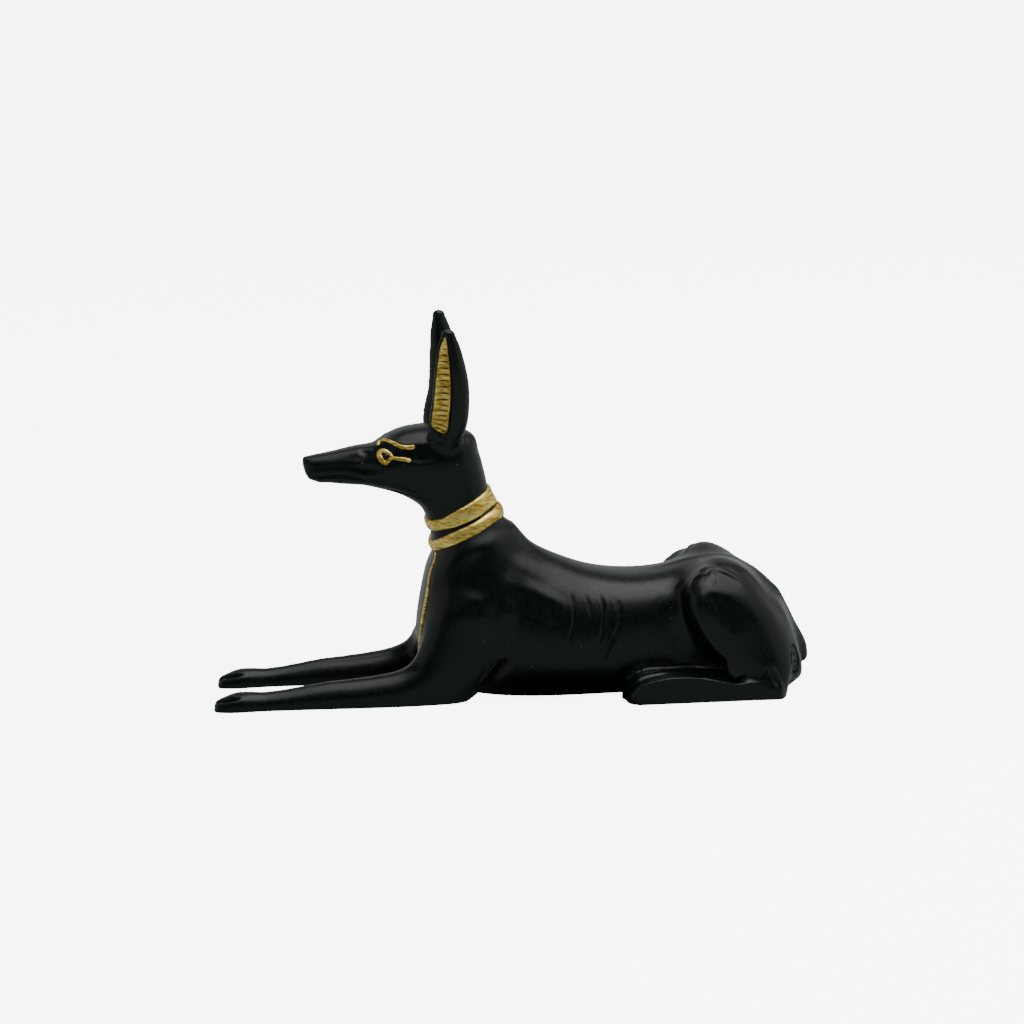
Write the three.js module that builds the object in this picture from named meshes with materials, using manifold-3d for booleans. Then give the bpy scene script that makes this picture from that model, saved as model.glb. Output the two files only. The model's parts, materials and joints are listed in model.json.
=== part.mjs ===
// A recumbent jackal of the ancient Egyptian kind, as a small cast figure: head up, ears pricked, forelegs
// stretched out on the ground, hind legs folded, tail down over the rump. It is one casting, flat underneath.
// +Z is up, the head looks along -X, and the origin is the middle of the underside.
// The form is built like a boat: frames that each run from a top point to a bottom point of the side view,
// with a half width, and a skin stretched over them. Limbs, ears and bands are further skins, joined into
// one solid.
import * as THREE from 'three';
import Module from 'manifold-3d';
import { mergeVertices } from 'three/addons/utils/BufferGeometryUtils.js';

// Driving dimensions, in millimetres.
const LENGTH = 200; // from the toes of the forepaws to the tail
const COLLAR_PROUD = 0.9; // how far the two neck bands stand out
const SASH_PROUD = 0.7; // how far the sash on the chest stands out
const LINE_WIDTH = 1.3; // raised lines of the eye and brow
const RIB_GROOVE = 1.1; // width of the grooves between the ribs of the chest
const TOE_GROOVE = 1.2; // width of the grooves between the toes
const LIP_GROOVE = 0.9; // width of the mouth's line
const FOLD_GROOVE = 0.8; // width of the folds at the jaw, the elbow and the heel
const EAR_RIM = 0.9; // wall left at the rim of the hollow ear
const EAR_RIB_DEPTH = 0.5; // height of the small ribs across the inside of the ear
const EAR_RIBS = 17;

// The pose and the proportions are drawn in two-hundredths of the length.
const MODULE = LENGTH / 200;

const wasm = await Module();
wasm.setup();

// Frames of the trunk, neck and head, from the rump to the nose: [top x, z], [bottom x, z], half width,
// then where the frame is widest (0 bottom, 1 top) and how square its upper and lower halves are (2 is an
// ellipse).
// The lowest frames reach under the ground, where the underside is cut flat.
const TRUNK = [
  frame([88.5, 30], [94.8, 2.4], 18.8, { widest: 0.42, full: [2.3, 2.8] }),
  frame([83.5, 36.4], [89.6, -1.6], 22, { widest: 0.45, full: [2.3, 3] }),
  frame([77, 40.4], [82, -3], 24, { widest: 0.45, full: [2.4, 3.6] }),
  frame([70, 42.6], [72, -3], 22.6, { widest: 0.46, full: [2.5, 4] }),
  frame([61, 41.6], [61, -3], 18.8, { widest: 0.47, full: [2.5, 4.2] }),
  frame([50, 39.1], [50, -3], 16.6, { widest: 0.48, full: [2.5, 4.2] }),
  frame([38, 38.8], [38, -3], 16.6, { widest: 0.48, full: [2.5, 4.2] }),
  frame([26, 41], [26, -3], 17.8, { widest: 0.47, full: [2.4, 4.2] }),
  frame([14.5, 45.5], [13, -2.4], 18.6, { widest: 0.45, full: [2.3, 3.8] }),
  frame([8.4, 48.8], [0, -1.8], 18.6, { widest: 0.44, full: [2.2, 3.2] }),
  frame([5.2, 51.9], [-14, -1.4], 18.2, { widest: 0.43, full: [2.1, 2.9] }),
  frame([2.9, 54.8], [-27.2, 5], 17.4, { widest: 0.44, full: [2.1, 3] }),
  frame([1.5, 56.2], [-29.8, 17], 16.6, { widest: 0.46, full: [2.1, 3.1] }),
  frame([0.4, 56.6], [-29.4, 28], 15.4, { widest: 0.48, full: [2.1, 2.9] }),
  frame([-0.6, 57.2], [-27.4, 39.5], 13.6, { full: [2.1, 2.6] }),
  frame([-1.9, 57.5], [-24.7, 47], 12, { full: [2.1, 2.4] }),
  frame([-3.3, 60.9], [-25.3, 50.2], 11.4, { full: [2.1, 2.3] }),
  frame([-3.9, 62.1], [-25.4, 54.2], 11, { full: [2.1, 2.3] }),
  frame([-6.6, 66.1], [-26.7, 58], 10.5, { full: [2.1, 2.3] }),
  frame([-8, 73], [-28.5, 61.9], 10.4, { full: [2.2, 2.3] }),
  frame([-9.5, 80], [-31.8, 64.6], 10.9, { full: [2.3, 2.3] }),
  frame([-12, 86.2], [-36, 66.8], 11.2, { full: [2.3, 2.3] }),
  frame([-22.5, 89.9], [-40.4, 68.2], 10.9, { full: [2.4, 2.2] }),
  frame([-32, 89.7], [-44.2, 69.2], 9.7, { full: [2.4, 2.2] }),
  frame([-38.2, 87.9], [-47.4, 69.9], 8.3, { full: [2.4, 2.2] }),
  frame([-43.6, 84.2], [-50.4, 70.2], 6.9, { full: [2.5, 2.2] }),
  frame([-50, 82.9], [-54.4, 70.5], 5.7, { full: [2.5, 2.2] }),
  frame([-57, 81.4], [-59, 71], 4.8, { full: [2.5, 2.2] }),
  frame([-62.8, 80.3], [-62.8, 71.5], 4.1, { full: [2.4, 2.3] }),
  frame([-66, 79.6], [-64.6, 73], 3.3, { full: [2.3, 2.3] }),
];
const RUMP_CAP = 3.2;
const NOSE_CAP = 1.3;
// The frames between which the two neck bands and the sash run, counted from the rump.
const UPPER_BAND = [17, 18];
const LOWER_BAND = [15, 16];
const SASH_RUN = [11.6, 15];
const SASH_HALF = 6.4; // half the sash's width
const SASH_STEPS = 8;

// One foreleg, from the toes along the ground to the elbow and up to the shoulder blade.
const FORELEG = [
  frame([-96.4, 3.6], [-96.8, -1], 2.8, { side: 13.9, full: [2.2, 4] }),
  frame([-94, 5], [-94, -1], 3.8, { side: 14, full: [2.2, 4] }),
  frame([-90.5, 5.9], [-90.5, -1], 4.1, { side: 14, full: [2.2, 4] }),
  frame([-84, 6], [-84, -1], 3.6, { side: 14.1, full: [2.2, 3.6] }),
  frame([-74, 6.6], [-74, -1], 3.6, { side: 14.2, full: [2.2, 3.6] }),
  frame([-62, 8.1], [-62, -1], 3.9, { side: 14.3, full: [2.2, 3.6] }),
  frame([-50, 9.1], [-50, -1], 4.3, { side: 14.4, full: [2.2, 3.6] }),
  frame([-40, 10.4], [-38, -1], 4.8, { side: 14.4, full: [2.2, 3.4] }),
  frame([-34.8, 12], [-26.5, -1.2], 5.4, { side: 14, full: [2.2, 3.4] }),
  frame([-32.5, 15.4], [-16.6, -0.6], 5.9, { side: 13.2, full: [2.2, 3] }),
  frame([-30.8, 20.4], [-10.6, 4.6], 6.3, { side: 12.5, full: [2.2, 2.6] }),
  frame([-28.2, 27], [-5.6, 13.6], 6.1, { side: 11.8, full: [2.2, 2.3] }),
  frame([-24, 34], [-2, 24], 5, { side: 11, full: [2.2, 2.3] }),
  frame([-18, 41], [1, 34], 3.2, { side: 10.2, full: [2.2, 2.2] }),
];
const PAW_CAP = 1.2;
const FAR_PAW_SHORT = 2.4; // the far foreleg reaches a little less far forward than the near one

// One thigh, from the bent knee at the top down to the hock at the back: front point, back point, half width.
const THIGH = [
  frame([61, 42], [66.6, 42], 2.5, { side: 18.4 }),
  frame([57.9, 38], [74, 38.6], 5.6, { side: 18.4, widest: 0.6, full: [2.3, 2] }),
  frame([57, 33], [82, 33.5], 7.6, { side: 18.6, widest: 0.6, full: [2.4, 2] }),
  frame([58.6, 26], [87, 26], 8.6, { side: 18.6, widest: 0.6, full: [2.4, 2.1] }),
  frame([62.8, 18.6], [89.6, 18], 8.8, { side: 18.8, widest: 0.6, full: [2.4, 2.1] }),
  frame([68.4, 11.6], [90, 10.5], 8.3, { side: 19.6, widest: 0.55, full: [2.4, 2.2] }),
  frame([74, 5.6], [89, 4.5], 7, { side: 21, full: [2.4, 2.4] }),
  frame([77.6, -1], [87.4, -1], 5.8, { side: 22.6, full: [2.4, 2.6] }),
];
const FAR_KNEE_LOW = 2.4; // the far knee lies a little lower
const FAR_KNEE_AHEAD = 1.9; // and a little further forward

// One hip, a low bump beside the spine.
const HIP = [
  frame([61.5, 41.6], [63, 34], 3.5, { side: 12 }),
  frame([67.6, 45], [68, 34], 6.4, { side: 12.4 }),
  frame([75.4, 41.6], [75, 33], 6.6, { side: 12.8 }),
  frame([82, 35.6], [80, 29], 4.2, { side: 12.6 }),
];

// One hind foot, flat on the ground from the toes back to the heel.
const HIND_FOOT = [
  frame([35.9, 5], [36.8, -1.4], 4.8, { side: 23, full: [2.6, 4] }),
  frame([40, 9.2], [40, -1.4], 5.7, { side: 23.4, full: [2.8, 5] }),
  frame([47, 10.3], [47, -1.4], 5.9, { side: 23.6, full: [3, 6] }),
  frame([58, 10.2], [58, -1.4], 5.9, { side: 23.7, full: [3, 6] }),
  frame([69, 8.6], [69, -1.4], 5.7, { side: 23.8, full: [3, 6] }),
  frame([78, 8], [78, -1.4], 5.6, { side: 23.8, full: [3, 6] }),
  frame([85.6, 6.6], [85.8, -1.4], 5, { side: 23.4, full: [3, 5] }),
];

// The tail, down over the rump to just above the ground.
const TAIL = [
  frame([75.5, 42.6], [73, 34], 4),
  frame([84.9, 38], [80, 30], 4.5),
  frame([90.7, 31.8], [85, 25], 4.5),
  frame([94.4, 25.4], [88.4, 20], 4.4),
  frame([97.8, 18.6], [91, 14], 4.3),
  frame([101.4, 12], [93, 9], 4.2),
  frame([102.4, 6.6], [94, 5.4], 4),
];

// One ear: height, middle, radii fore and aft and sideways, of each level of the leaf.
const EAR = [
  level(84, [-21, 8.8], 4.2, 3.4),
  level(88, [-20.8, 9.8], 5.5, 4.2),
  level(93, [-20.2, 11], 6.2, 4.7),
  level(98, [-19.9, 12], 6.15, 4.6),
  level(104, [-20, 12.9], 5.5, 4.1),
  level(110, [-20.3, 13.6], 4.4, 3.4),
  level(116, [-20.7, 14.1], 2.9, 2.4),
  level(120.6, [-20.9, 14.4], 1.7, 1.5),
];
const EAR_TIP = 1.8; // rounded tip above the last level
const EAR_TURN = THREE.MathUtils.degToRad(40); // how far the opening turns outwards from straight ahead
const FAR_EAR_RISE = 2.2; // the far ear stands a little higher
const FAR_EAR_BACK = 0.5; // and a little further back

/** One frame of a skin, in modules: top and bottom points in the side view, half width and shape. */
function frame(top, bottom, half, { side = 0, widest = 0.5, full = [2, 2] } = {}) {
  return { top, bottom, half, side, widest, full };
}

/** One level of an ear, in modules. */
function level(z, middle, foreAft, sideways) {
  return { z, middle, foreAft, sideways };
}

/** The whole numbers from zero up to, but without, `count`. */
function numbers(count) {
  return Array.from({ length: count }, (_, k) => k);
}

/** A smooth curve through a list of triples, as a function of the place counted in triples. */
function through(triples) {
  const knots = triples.map((t) => new THREE.Vector3(...t));
  const curve = new THREE.CatmullRomCurve3(knots, false, 'catmullrom', 0.5);
  return (place) => curve.getPoint(place / (triples.length - 1));
}

/** A signed power, for drawing superellipses. */
function power(value, exponent) {
  return Math.sign(value) * Math.abs(value) ** exponent;
}

/** A function giving the ring of points of a row of frames at any place, counted in frames. */
function ringsOf(frames, hand = 1) {
  const tops = through(frames.map((f) => [f.top[0], f.widest, f.top[1]]));
  const bottoms = through(frames.map((f) => [f.bottom[0], 0, f.bottom[1]]));
  const sides = through(frames.map((f) => [f.half, f.side, 0]));
  const fulls = through(frames.map((f) => [f.full[0], f.full[1], 0]));
  return (place, count, proud = 0) => {
    const top = tops(place);
    const bottom = bottoms(place);
    const { x: half, y: side } = sides(place);
    const { x: fullTop, y: fullBottom } = fulls(place);
    const rise = new THREE.Vector2(top.x - bottom.x, top.z - bottom.z).multiplyScalar(MODULE);
    const up = rise.clone().normalize();
    const middle = new THREE.Vector2(bottom.x, bottom.z).multiplyScalar(MODULE).addScaledVector(rise, top.y);
    return numbers(count).map((k) => {
      const angle = (2 * Math.PI * k) / count;
      const upper = Math.sin(angle) >= 0;
      const exponent = 2 / (upper ? fullTop : fullBottom);
      const reach = (upper ? 1 - top.y : top.y) * rise.length() + proud;
      const across = power(Math.cos(angle), exponent) * (half * MODULE + proud);
      const along = power(Math.sin(angle), exponent) * reach;
      return new THREE.Vector3(
        middle.x + up.x * along,
        hand * (side * MODULE + across),
        middle.y + up.y * along,
      );
    });
  };
}

/** Places along a row of frames whose rings lie about `spacing` apart where they are furthest apart. */
function spacedPlaces(ringAt, from, to, spacing) {
  const fine = numbers(161).map((k) => from + ((to - from) * k) / 160);
  const rings = fine.map((place) => ringAt(place, 8));
  const travel = [0];
  for (let k = 1; k < fine.length; k += 1) {
    const step = Math.max(...rings[k].map((p, i) => p.distanceTo(rings[k - 1][i])));
    travel.push(travel[k - 1] + step);
  }
  const steps = Math.max(2, Math.round(travel.at(-1) / (spacing * MODULE)));
  return numbers(steps + 1).map((s) => {
    const wanted = (travel.at(-1) * s) / steps;
    const k = Math.max(1, travel.findIndex((t) => t >= wanted - 1e-9));
    const share = (wanted - travel[k - 1]) / (travel[k] - travel[k - 1] || 1);
    return fine[k - 1] + (fine[k] - fine[k - 1]) * share;
  });
}

/** The mean of a ring's points. */
function centreOf(ring) {
  return ring.reduce((sum, p) => sum.add(p), new THREE.Vector3()).divideScalar(ring.length);
}

/** The way out from one ring's centre to the next one's. */
function wayOut(ring, inner) {
  return centreOf(ring).sub(centreOf(inner)).normalize();
}

/** Extra rings that round an end off, shrinking towards a pole `reach` beyond it. */
function roundedEnd(ring, inner, reach, steps) {
  const centre = centreOf(ring);
  const way = wayOut(ring, inner);
  return numbers(steps).map((k) => {
    const angle = ((k + 1) / (steps + 1)) * (Math.PI / 2);
    const shift = way.clone().multiplyScalar(reach * Math.sin(angle));
    return ring.map((p) => p.clone().sub(centre).multiplyScalar(Math.cos(angle)).add(centre).add(shift));
  });
}

/** A geometry of points and faces, turned so that its faces point out. */
function outward(points, faces) {
  let volume = 0;
  for (let f = 0; f < faces.length; f += 3) {
    const [a, b, c] = [points[faces[f]], points[faces[f + 1]], points[faces[f + 2]]];
    volume += a.dot(b.clone().cross(c));
  }
  const geometry = new THREE.BufferGeometry().setFromPoints(points);
  geometry.setIndex(volume > 0 ? faces : faces.map((_, i) => faces[i - (i % 3) + [0, 2, 1][i % 3]]));
  return geometry;
}

/** Faces between neighbouring rings of equal count, round the loop if `loop`. */
function sideFaces(rings, loop = false) {
  const count = rings[0].length;
  const faces = [];
  for (let r = 0; r < rings.length - (loop ? 0 : 1); r += 1) {
    const next = (r + 1) % rings.length;
    for (let k = 0; k < count; k += 1) {
      const [a, b] = [r * count + k, r * count + ((k + 1) % count)];
      const [c, d] = [next * count + k, next * count + ((k + 1) % count)];
      faces.push(a, b, d, a, d, c);
    }
  }
  return faces;
}

/** A closed skin over rings of equal count, with a pole at each end. */
function skin(rings, firstPole = centreOf(rings[0]), lastPole = centreOf(rings.at(-1))) {
  const count = rings[0].length;
  const points = [...rings.flat(), firstPole, lastPole];
  const faces = sideFaces(rings);
  const last = (rings.length - 1) * count;
  for (let k = 0; k < count; k += 1) {
    const next = (k + 1) % count;
    faces.push(points.length - 2, next, k);
    faces.push(points.length - 1, last + k, last + next);
  }
  return outward(points, faces);
}

/** Rings closed by a rounded end on each side. */
function closed(rings, [startReach, endReach], capSteps = 1) {
  const start = roundedEnd(rings[0], rings[1], startReach * MODULE, capSteps);
  const end = roundedEnd(rings.at(-1), rings.at(-2), endReach * MODULE, capSteps);
  const pole = (ring, inner, reach) => centreOf(ring).addScaledVector(wayOut(ring, inner), reach * MODULE);
  return skin(
    [...start.reverse(), ...rings, ...end],
    pole(rings[0], rings[1], startReach),
    pole(rings.at(-1), rings.at(-2), endReach),
  );
}

/** A loft over frames, rounded at both ends. */
function loft(frames, { count, spacing, caps, capSteps = 1, hand = 1 }) {
  const ringAt = ringsOf(frames, hand);
  const places = spacedPlaces(ringAt, 0, frames.length - 1, spacing);
  return closed(places.map((place) => ringAt(place, count)), caps, capSteps);
}

/** A geometry as a solid for joining and cutting. */
function solid(geometry) {
  const bare = geometry.clone();
  bare.deleteAttribute('normal');
  bare.deleteAttribute('uv');
  const merged = mergeVertices(bare, 1e-4);
  return new wasm.Manifold(new wasm.Mesh({
    numProp: 3,
    vertProperties: Float32Array.from(merged.attributes.position.array),
    triVerts: Uint32Array.from(merged.index.array),
  }));
}

/** A solid as a geometry. */
function geometryOf(body) {
  const mesh = body.getMesh();
  const geometry = new THREE.BufferGeometry();
  geometry.setAttribute('position', new THREE.BufferAttribute(Float32Array.from(mesh.vertProperties), 3));
  geometry.setIndex(new THREE.BufferAttribute(Uint32Array.from(mesh.triVerts), 1));
  geometry.computeVertexNormals();
  return geometry;
}

/** All the solids of a list as one. */
function joined(solids) {
  return solids.reduce((sum, next) => sum.add(next));
}

/** The trunk with its neck and head. */
function trunk() {
  return solid(loft(TRUNK, { count: 24, spacing: 7, caps: [RUMP_CAP, NOSE_CAP] }));
}

/** One foreleg with its shoulder. */
function foreleg(hand) {
  const short = hand > 0 ? FAR_PAW_SHORT : 0;
  const eased = ([x, z]) => [x + short * THREE.MathUtils.smoothstep(-x, 40, 90), z];
  const frames = FORELEG.map((f) => ({ ...f, top: eased(f.top), bottom: eased(f.bottom) }));
  return solid(loft(frames, { count: 12, spacing: 8, caps: [PAW_CAP, 2], hand }));
}

/** One hind leg: thigh, foot and hip. */
function hindLeg(hand) {
  const far = hand > 0 ? 1 : 0;
  const eased = ([x, z]) => {
    const share = far * THREE.MathUtils.smoothstep(z, 15, 40);
    return [x - FAR_KNEE_AHEAD * share, z - FAR_KNEE_LOW * share];
  };
  const frames = THIGH.map((f) => ({ ...f, top: eased(f.top), bottom: eased(f.bottom) }));
  const thigh = loft(frames, { count: 16, spacing: 5.4, caps: [1.4, 0.8], hand });
  const foot = loft(HIND_FOOT, { count: 14, spacing: 7, caps: [1.6, 1.6], hand });
  const hip = loft(HIP, { count: 10, spacing: 7, caps: [1, 1], hand });
  return joined([thigh, foot, hip].map(solid));
}

/** The tail. */
function tail() {
  return solid(loft(TAIL, { count: 10, spacing: 5.5, caps: [1.5, 1.8] }));
}

/** A band round the neck, standing proud of the trunk between two of its frames. */
function band([first, last]) {
  const ringAt = ringsOf(TRUNK);
  const rings = [0, 0.14, 0.86, 1].map((share, k) => {
    const proud = k % 3 ? COLLAR_PROUD : COLLAR_PROUD * 0.5;
    return ringAt(first + (last - first) * share, 24, proud);
  });
  return solid(skin(rings));
}

/** The ring of one ear level: an ellipse, turned, in the near or far ear. */
function earRing([x, y], z, [foreAft, sideways], turn, hand, angles) {
  return angles.map((angle) => {
    const p = new THREE.Vector2(foreAft * Math.cos(angle), sideways * Math.sin(angle));
    p.rotateAround(new THREE.Vector2(), turn);
    return new THREE.Vector3(x + p.x, hand * (y + p.y), z).multiplyScalar(MODULE);
  });
}

/** One ear: a leaf with a ribbed hollow that opens forwards and outwards. */
function ear(hand) {
  const far = hand > 0 ? 1 : 0;
  const middles = through(EAR.map((l) => [l.middle[0], l.middle[1], l.z]));
  const radii = through(EAR.map((l) => [l.foreAft, l.sideways, 0]));
  const at = (place) => {
    const m = middles(place);
    const share = place / (EAR.length - 1);
    const z = m.z + far * FAR_EAR_RISE * share;
    return { x: m.x + far * FAR_EAR_BACK, y: m.y, z, radii: radii(place) };
  };
  const round = numbers(14).map((k) => (2 * Math.PI * k) / 14);
  const leafRings = numbers(12).map((s) => {
    const { x, y, z, radii: r } = at((s / 11) * (EAR.length - 1));
    return earRing([x, y], z, [r.x, r.y], 0, hand, round);
  });
  const leaf = solid(closed(leafRings, [0.5, EAR_TIP]));

  // The hollow is a fluted spindle: its inner side is finely divided, its outer side lies in the open air.
  const angles = [-0.45, -0.15, 0.15, 0.45, 1].map((turn) => turn * Math.PI);
  const open = new THREE.Vector2(-Math.cos(EAR_TURN), Math.sin(EAR_TURN));
  const [first, last] = [1.15, EAR.length - 1.5];
  const rows = 2 * EAR_RIBS + 1;
  const hollowRings = numbers(rows).map((s) => {
    const { x, y, z, radii: r } = at(first + ((last - first) * s) / (rows - 1));
    const rib = s % 2 ? EAR_RIB_DEPTH / MODULE : 0;
    const out = r.y * 0.95;
    const mouth = r.y - EAR_RIM / MODULE;
    return earRing([x + open.x * out, y + open.y * out], z, [out - rib, mouth], -EAR_TURN, hand, angles);
  });
  return leaf.subtract(solid(closed(hollowRings, [1.2, 2.2])));
}

/** The sash: a strip of the chest's own skin, stood proud. */
function sash() {
  const ringAt = ringsOf(TRUNK);
  const [from, to] = SASH_RUN;
  const strips = numbers(SASH_STEPS + 1).map((s) => {
    const ring = ringAt(from + ((to - from) * s) / SASH_STEPS, 96, SASH_PROUD);
    const middle = centreOf(ring);
    const front = ring.filter((p) => p.x < middle.x).sort((a, b) => a.y - b.y);
    const face = numbers(7).map((k) => {
      const y = SASH_HALF * MODULE * (k / 3 - 1);
      const next = front.findIndex((p) => p.y >= y);
      const [p, q] = [front[next - 1], front[next]];
      return p.clone().lerp(q, (y - p.y) / (q.y - p.y));
    });
    const back = face.map((p) => p.clone().setX(p.x + 3 * MODULE)).reverse();
    return [...face, ...back];
  });
  return solid(skin(strips));
}

/** Points of the side view laid onto the near or far flank of a body, each with its outward normal. */
function drapedSideways(mesh, path, hand) {
  const caster = new THREE.Raycaster();
  return path.map(([x, z]) => {
    caster.set(new THREE.Vector3(x * MODULE, hand * LENGTH, z * MODULE), new THREE.Vector3(0, -hand, 0));
    const [hit] = caster.intersectObject(mesh);
    return { point: hit.point, normal: hit.face.normal.clone() };
  });
}

/** Points of the plan laid onto a body from above, each with its outward normal. */
function drapedDown(mesh, path) {
  const caster = new THREE.Raycaster();
  return path.flatMap(([x, y]) => {
    caster.set(new THREE.Vector3(x * MODULE, y * MODULE, LENGTH), new THREE.Vector3(0, 0, -1));
    const [hit] = caster.intersectObject(mesh);
    return hit ? [{ point: hit.point, normal: hit.face.normal.clone() }] : [];
  });
}

/** A closed tube through draped points. */
function cord(spots, radius, { loop = false, sides = 4 } = {}) {
  const points = spots.map(({ point }) => point);
  const rings = spots.map(({ point, normal }, s) => {
    const before = points[s ? s - 1 : (loop ? points.length - 1 : 0)];
    const after = points[s + 1] ?? (loop ? points[0] : point);
    const ahead = after.clone().sub(before).normalize();
    const across = new THREE.Vector3().crossVectors(ahead, normal).normalize();
    const out = new THREE.Vector3().crossVectors(across, ahead).normalize();
    return numbers(sides).map((k) => {
      const angle = (2 * Math.PI * k) / sides;
      const spoke = across.clone().multiplyScalar(Math.cos(angle)).addScaledVector(out, Math.sin(angle));
      return point.clone().addScaledVector(spoke, radius);
    });
  });
  return loop ? outward(rings.flat(), sideFaces(rings, true)) : skin(rings);
}

// The lines of the face, in the side view.
const BROW = [[-44.2, 83.5], [-42.4, 84.9], [-40.2, 85.2], [-37.2, 84.1], [-34.4, 83.8], [-31.8, 84.3]];
const EYE = { middle: [-40.4, 80.3], wide: 2.5, tall: 1.8, points: 8 };
const EYE_TAIL = [[-38.4, 79.6], [-35.6, 79.9], [-32.7, 79.7]];
const MOUTH = [[-63.6, 74.4], [-59, 73.8], [-53.6, 73.6], [-48, 72.6], [-44.8, 72]];
const JAW = [[-40, 70], [-35.2, 68.7], [-29.3, 66.9], [-24, 65.3]];
// The folds at the elbow and above the heel.
const ELBOW_FOLD = [[-12.3, 6.6], [-8.5, 11.2], [-4, 15.3]];
const HEEL_FOLD = [[83, 10.4], [84.9, 7.9], [87, 4]];
// The grooves between the ribs, each from its top down.
const RIBS = [
  [[17.8, 34.5], [17, 29.5], [15.2, 24.8]],
  [[21.6, 35], [21.2, 31], [20.2, 26.5]],
  [[25.2, 36.5], [25.8, 31], [24.4, 25]],
  [[29, 37], [30.2, 32], [28.6, 26], [25.6, 19.5]],
];
// The grooves between the toes, seen from above: offset from the foot's middle, then back and front ends.
const TOES = [[-1.6, -91.4, -96.2], [1.4, -90.6, -96.6]];
const HIND_TOES = [[-2.4, 48, 37.6], [1, 48, 37.2]];

/** The grooves of one foot, laid along its top and down over its front. */
function toeGrooves(mesh, grooves, sideAt, hand, shift = 0) {
  return grooves.map(([offset, back, front]) => {
    const path = numbers(3).map((k) => [back + ((front - back) * k) / 2 + shift, hand * (sideAt + offset)]);
    const spots = drapedDown(mesh, path);
    const end = spots.at(-1);
    const toe = end.point.clone().add(new THREE.Vector3(-0.5, 0, -3).multiplyScalar(MODULE));
    return solid(cord([...spots, { point: toe, normal: new THREE.Vector3(-1, 0, 0) }], TOE_GROOVE / 2));
  });
}

/** The whole figure as one solid, before it is moved onto the origin. */
function jackal() {
  const hands = [-1, 1];
  const body = joined([trunk(), tail(), ...hands.map(foreleg), ...hands.map(hindLeg)]);
  const bare = new THREE.Mesh(geometryOf(body), new THREE.MeshBasicMaterial({ side: THREE.DoubleSide }));

  const eye = numbers(EYE.points).map((k) => {
    const angle = (2 * Math.PI * k) / EYE.points;
    return [EYE.middle[0] + EYE.wide * Math.cos(angle), EYE.middle[1] + EYE.tall * Math.sin(angle)];
  });
  const raised = hands.flatMap((hand) => [
    solid(cord(drapedSideways(bare, BROW, hand), LINE_WIDTH / 2)),
    solid(cord(drapedSideways(bare, eye, hand), LINE_WIDTH / 2, { loop: true })),
    solid(cord(drapedSideways(bare, EYE_TAIL, hand), LINE_WIDTH / 2)),
  ]);
  const grooves = hands.flatMap((hand) => [
    ...RIBS.map((rib) => solid(cord(drapedSideways(bare, rib, hand), RIB_GROOVE / 2))),
    solid(cord(drapedSideways(bare, MOUTH, hand), LIP_GROOVE / 2)),
    ...[JAW, ELBOW_FOLD, HEEL_FOLD].map((fold) => (
      solid(cord(drapedSideways(bare, fold, hand), FOLD_GROOVE / 2)))),
    ...toeGrooves(bare, TOES, 14, hand, hand > 0 ? FAR_PAW_SHORT : 0),
    ...toeGrooves(bare, HIND_TOES, 23, hand),
  ]);
  const ground = new THREE.BoxGeometry(2 * LENGTH, LENGTH, LENGTH / 4).translate(0, 0, -LENGTH / 8);
  return joined([body, ...hands.map(ear), band(UPPER_BAND), band(LOWER_BAND), sash(), ...raised])
    .subtract(joined(grooves))
    .subtract(solid(ground));
}

/** A geometry moved so that the middle of the underside of its box is the origin. */
function stoodOnOrigin(geometry) {
  geometry.computeBoundingBox();
  const middle = geometry.boundingBox.getCenter(new THREE.Vector3());
  return geometry.translate(-middle.x, -middle.y, -geometry.boundingBox.min.z);
}

const black = new THREE.MeshStandardMaterial({ color: 0x141717, roughness: 0.38, metalness: 0 });
const group = new THREE.Group();
const figure = new THREE.Mesh(stoodOnOrigin(geometryOf(jackal())), black);
figure.name = 'jackal_figure';
group.add(figure);

export default group;
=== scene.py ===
# %% [markdown]
# # A recumbent jackal, cast in resin and painted
#
# The real object is a small cast figure: black satin paint all over, with antique gold brushed onto
# the eyes, the brows, the insides of the ears, two collars and the hem of a sash. This lesson builds it
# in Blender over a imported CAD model, which stays in place as a fixed frame and gives the size.

# %% Load the CAD frame and keep its box
import json
import math

import bmesh
import bpy
import numpy as np
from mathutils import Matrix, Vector
from mathutils.bvhtree import BVHTree

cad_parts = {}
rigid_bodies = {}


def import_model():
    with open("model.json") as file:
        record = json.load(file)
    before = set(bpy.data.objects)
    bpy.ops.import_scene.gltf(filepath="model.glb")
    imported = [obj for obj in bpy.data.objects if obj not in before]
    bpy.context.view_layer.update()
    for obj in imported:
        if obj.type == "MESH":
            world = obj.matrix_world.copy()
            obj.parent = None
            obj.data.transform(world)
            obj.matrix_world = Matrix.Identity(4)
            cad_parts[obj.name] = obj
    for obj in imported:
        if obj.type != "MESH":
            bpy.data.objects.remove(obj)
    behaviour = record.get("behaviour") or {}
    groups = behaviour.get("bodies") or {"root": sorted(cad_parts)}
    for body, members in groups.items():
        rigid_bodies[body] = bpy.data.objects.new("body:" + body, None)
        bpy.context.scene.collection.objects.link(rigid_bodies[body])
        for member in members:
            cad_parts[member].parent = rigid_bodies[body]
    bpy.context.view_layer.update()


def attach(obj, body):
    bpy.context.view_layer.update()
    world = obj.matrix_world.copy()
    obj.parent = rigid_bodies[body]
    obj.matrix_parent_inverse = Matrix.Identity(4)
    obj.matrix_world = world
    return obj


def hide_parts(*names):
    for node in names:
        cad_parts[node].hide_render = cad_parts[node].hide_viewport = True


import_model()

# %% [markdown]
# ## Drawing units
#
# The figure was drawn from the side in millimetres, with X to the tail, Y to the far flank and Z up. Blender
# works in metres, so the tables below are turned into metres only when a mesh is made. The drawing's
# zero lies a little in front of the frame's, which SHIFT makes good.

# %% Units and the two flanks
MM = 0.001
SHIFT = -2.2
NEAR, FAR = FLANKS = -1, 1
print("one millimetre is", MM, "m")

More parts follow.
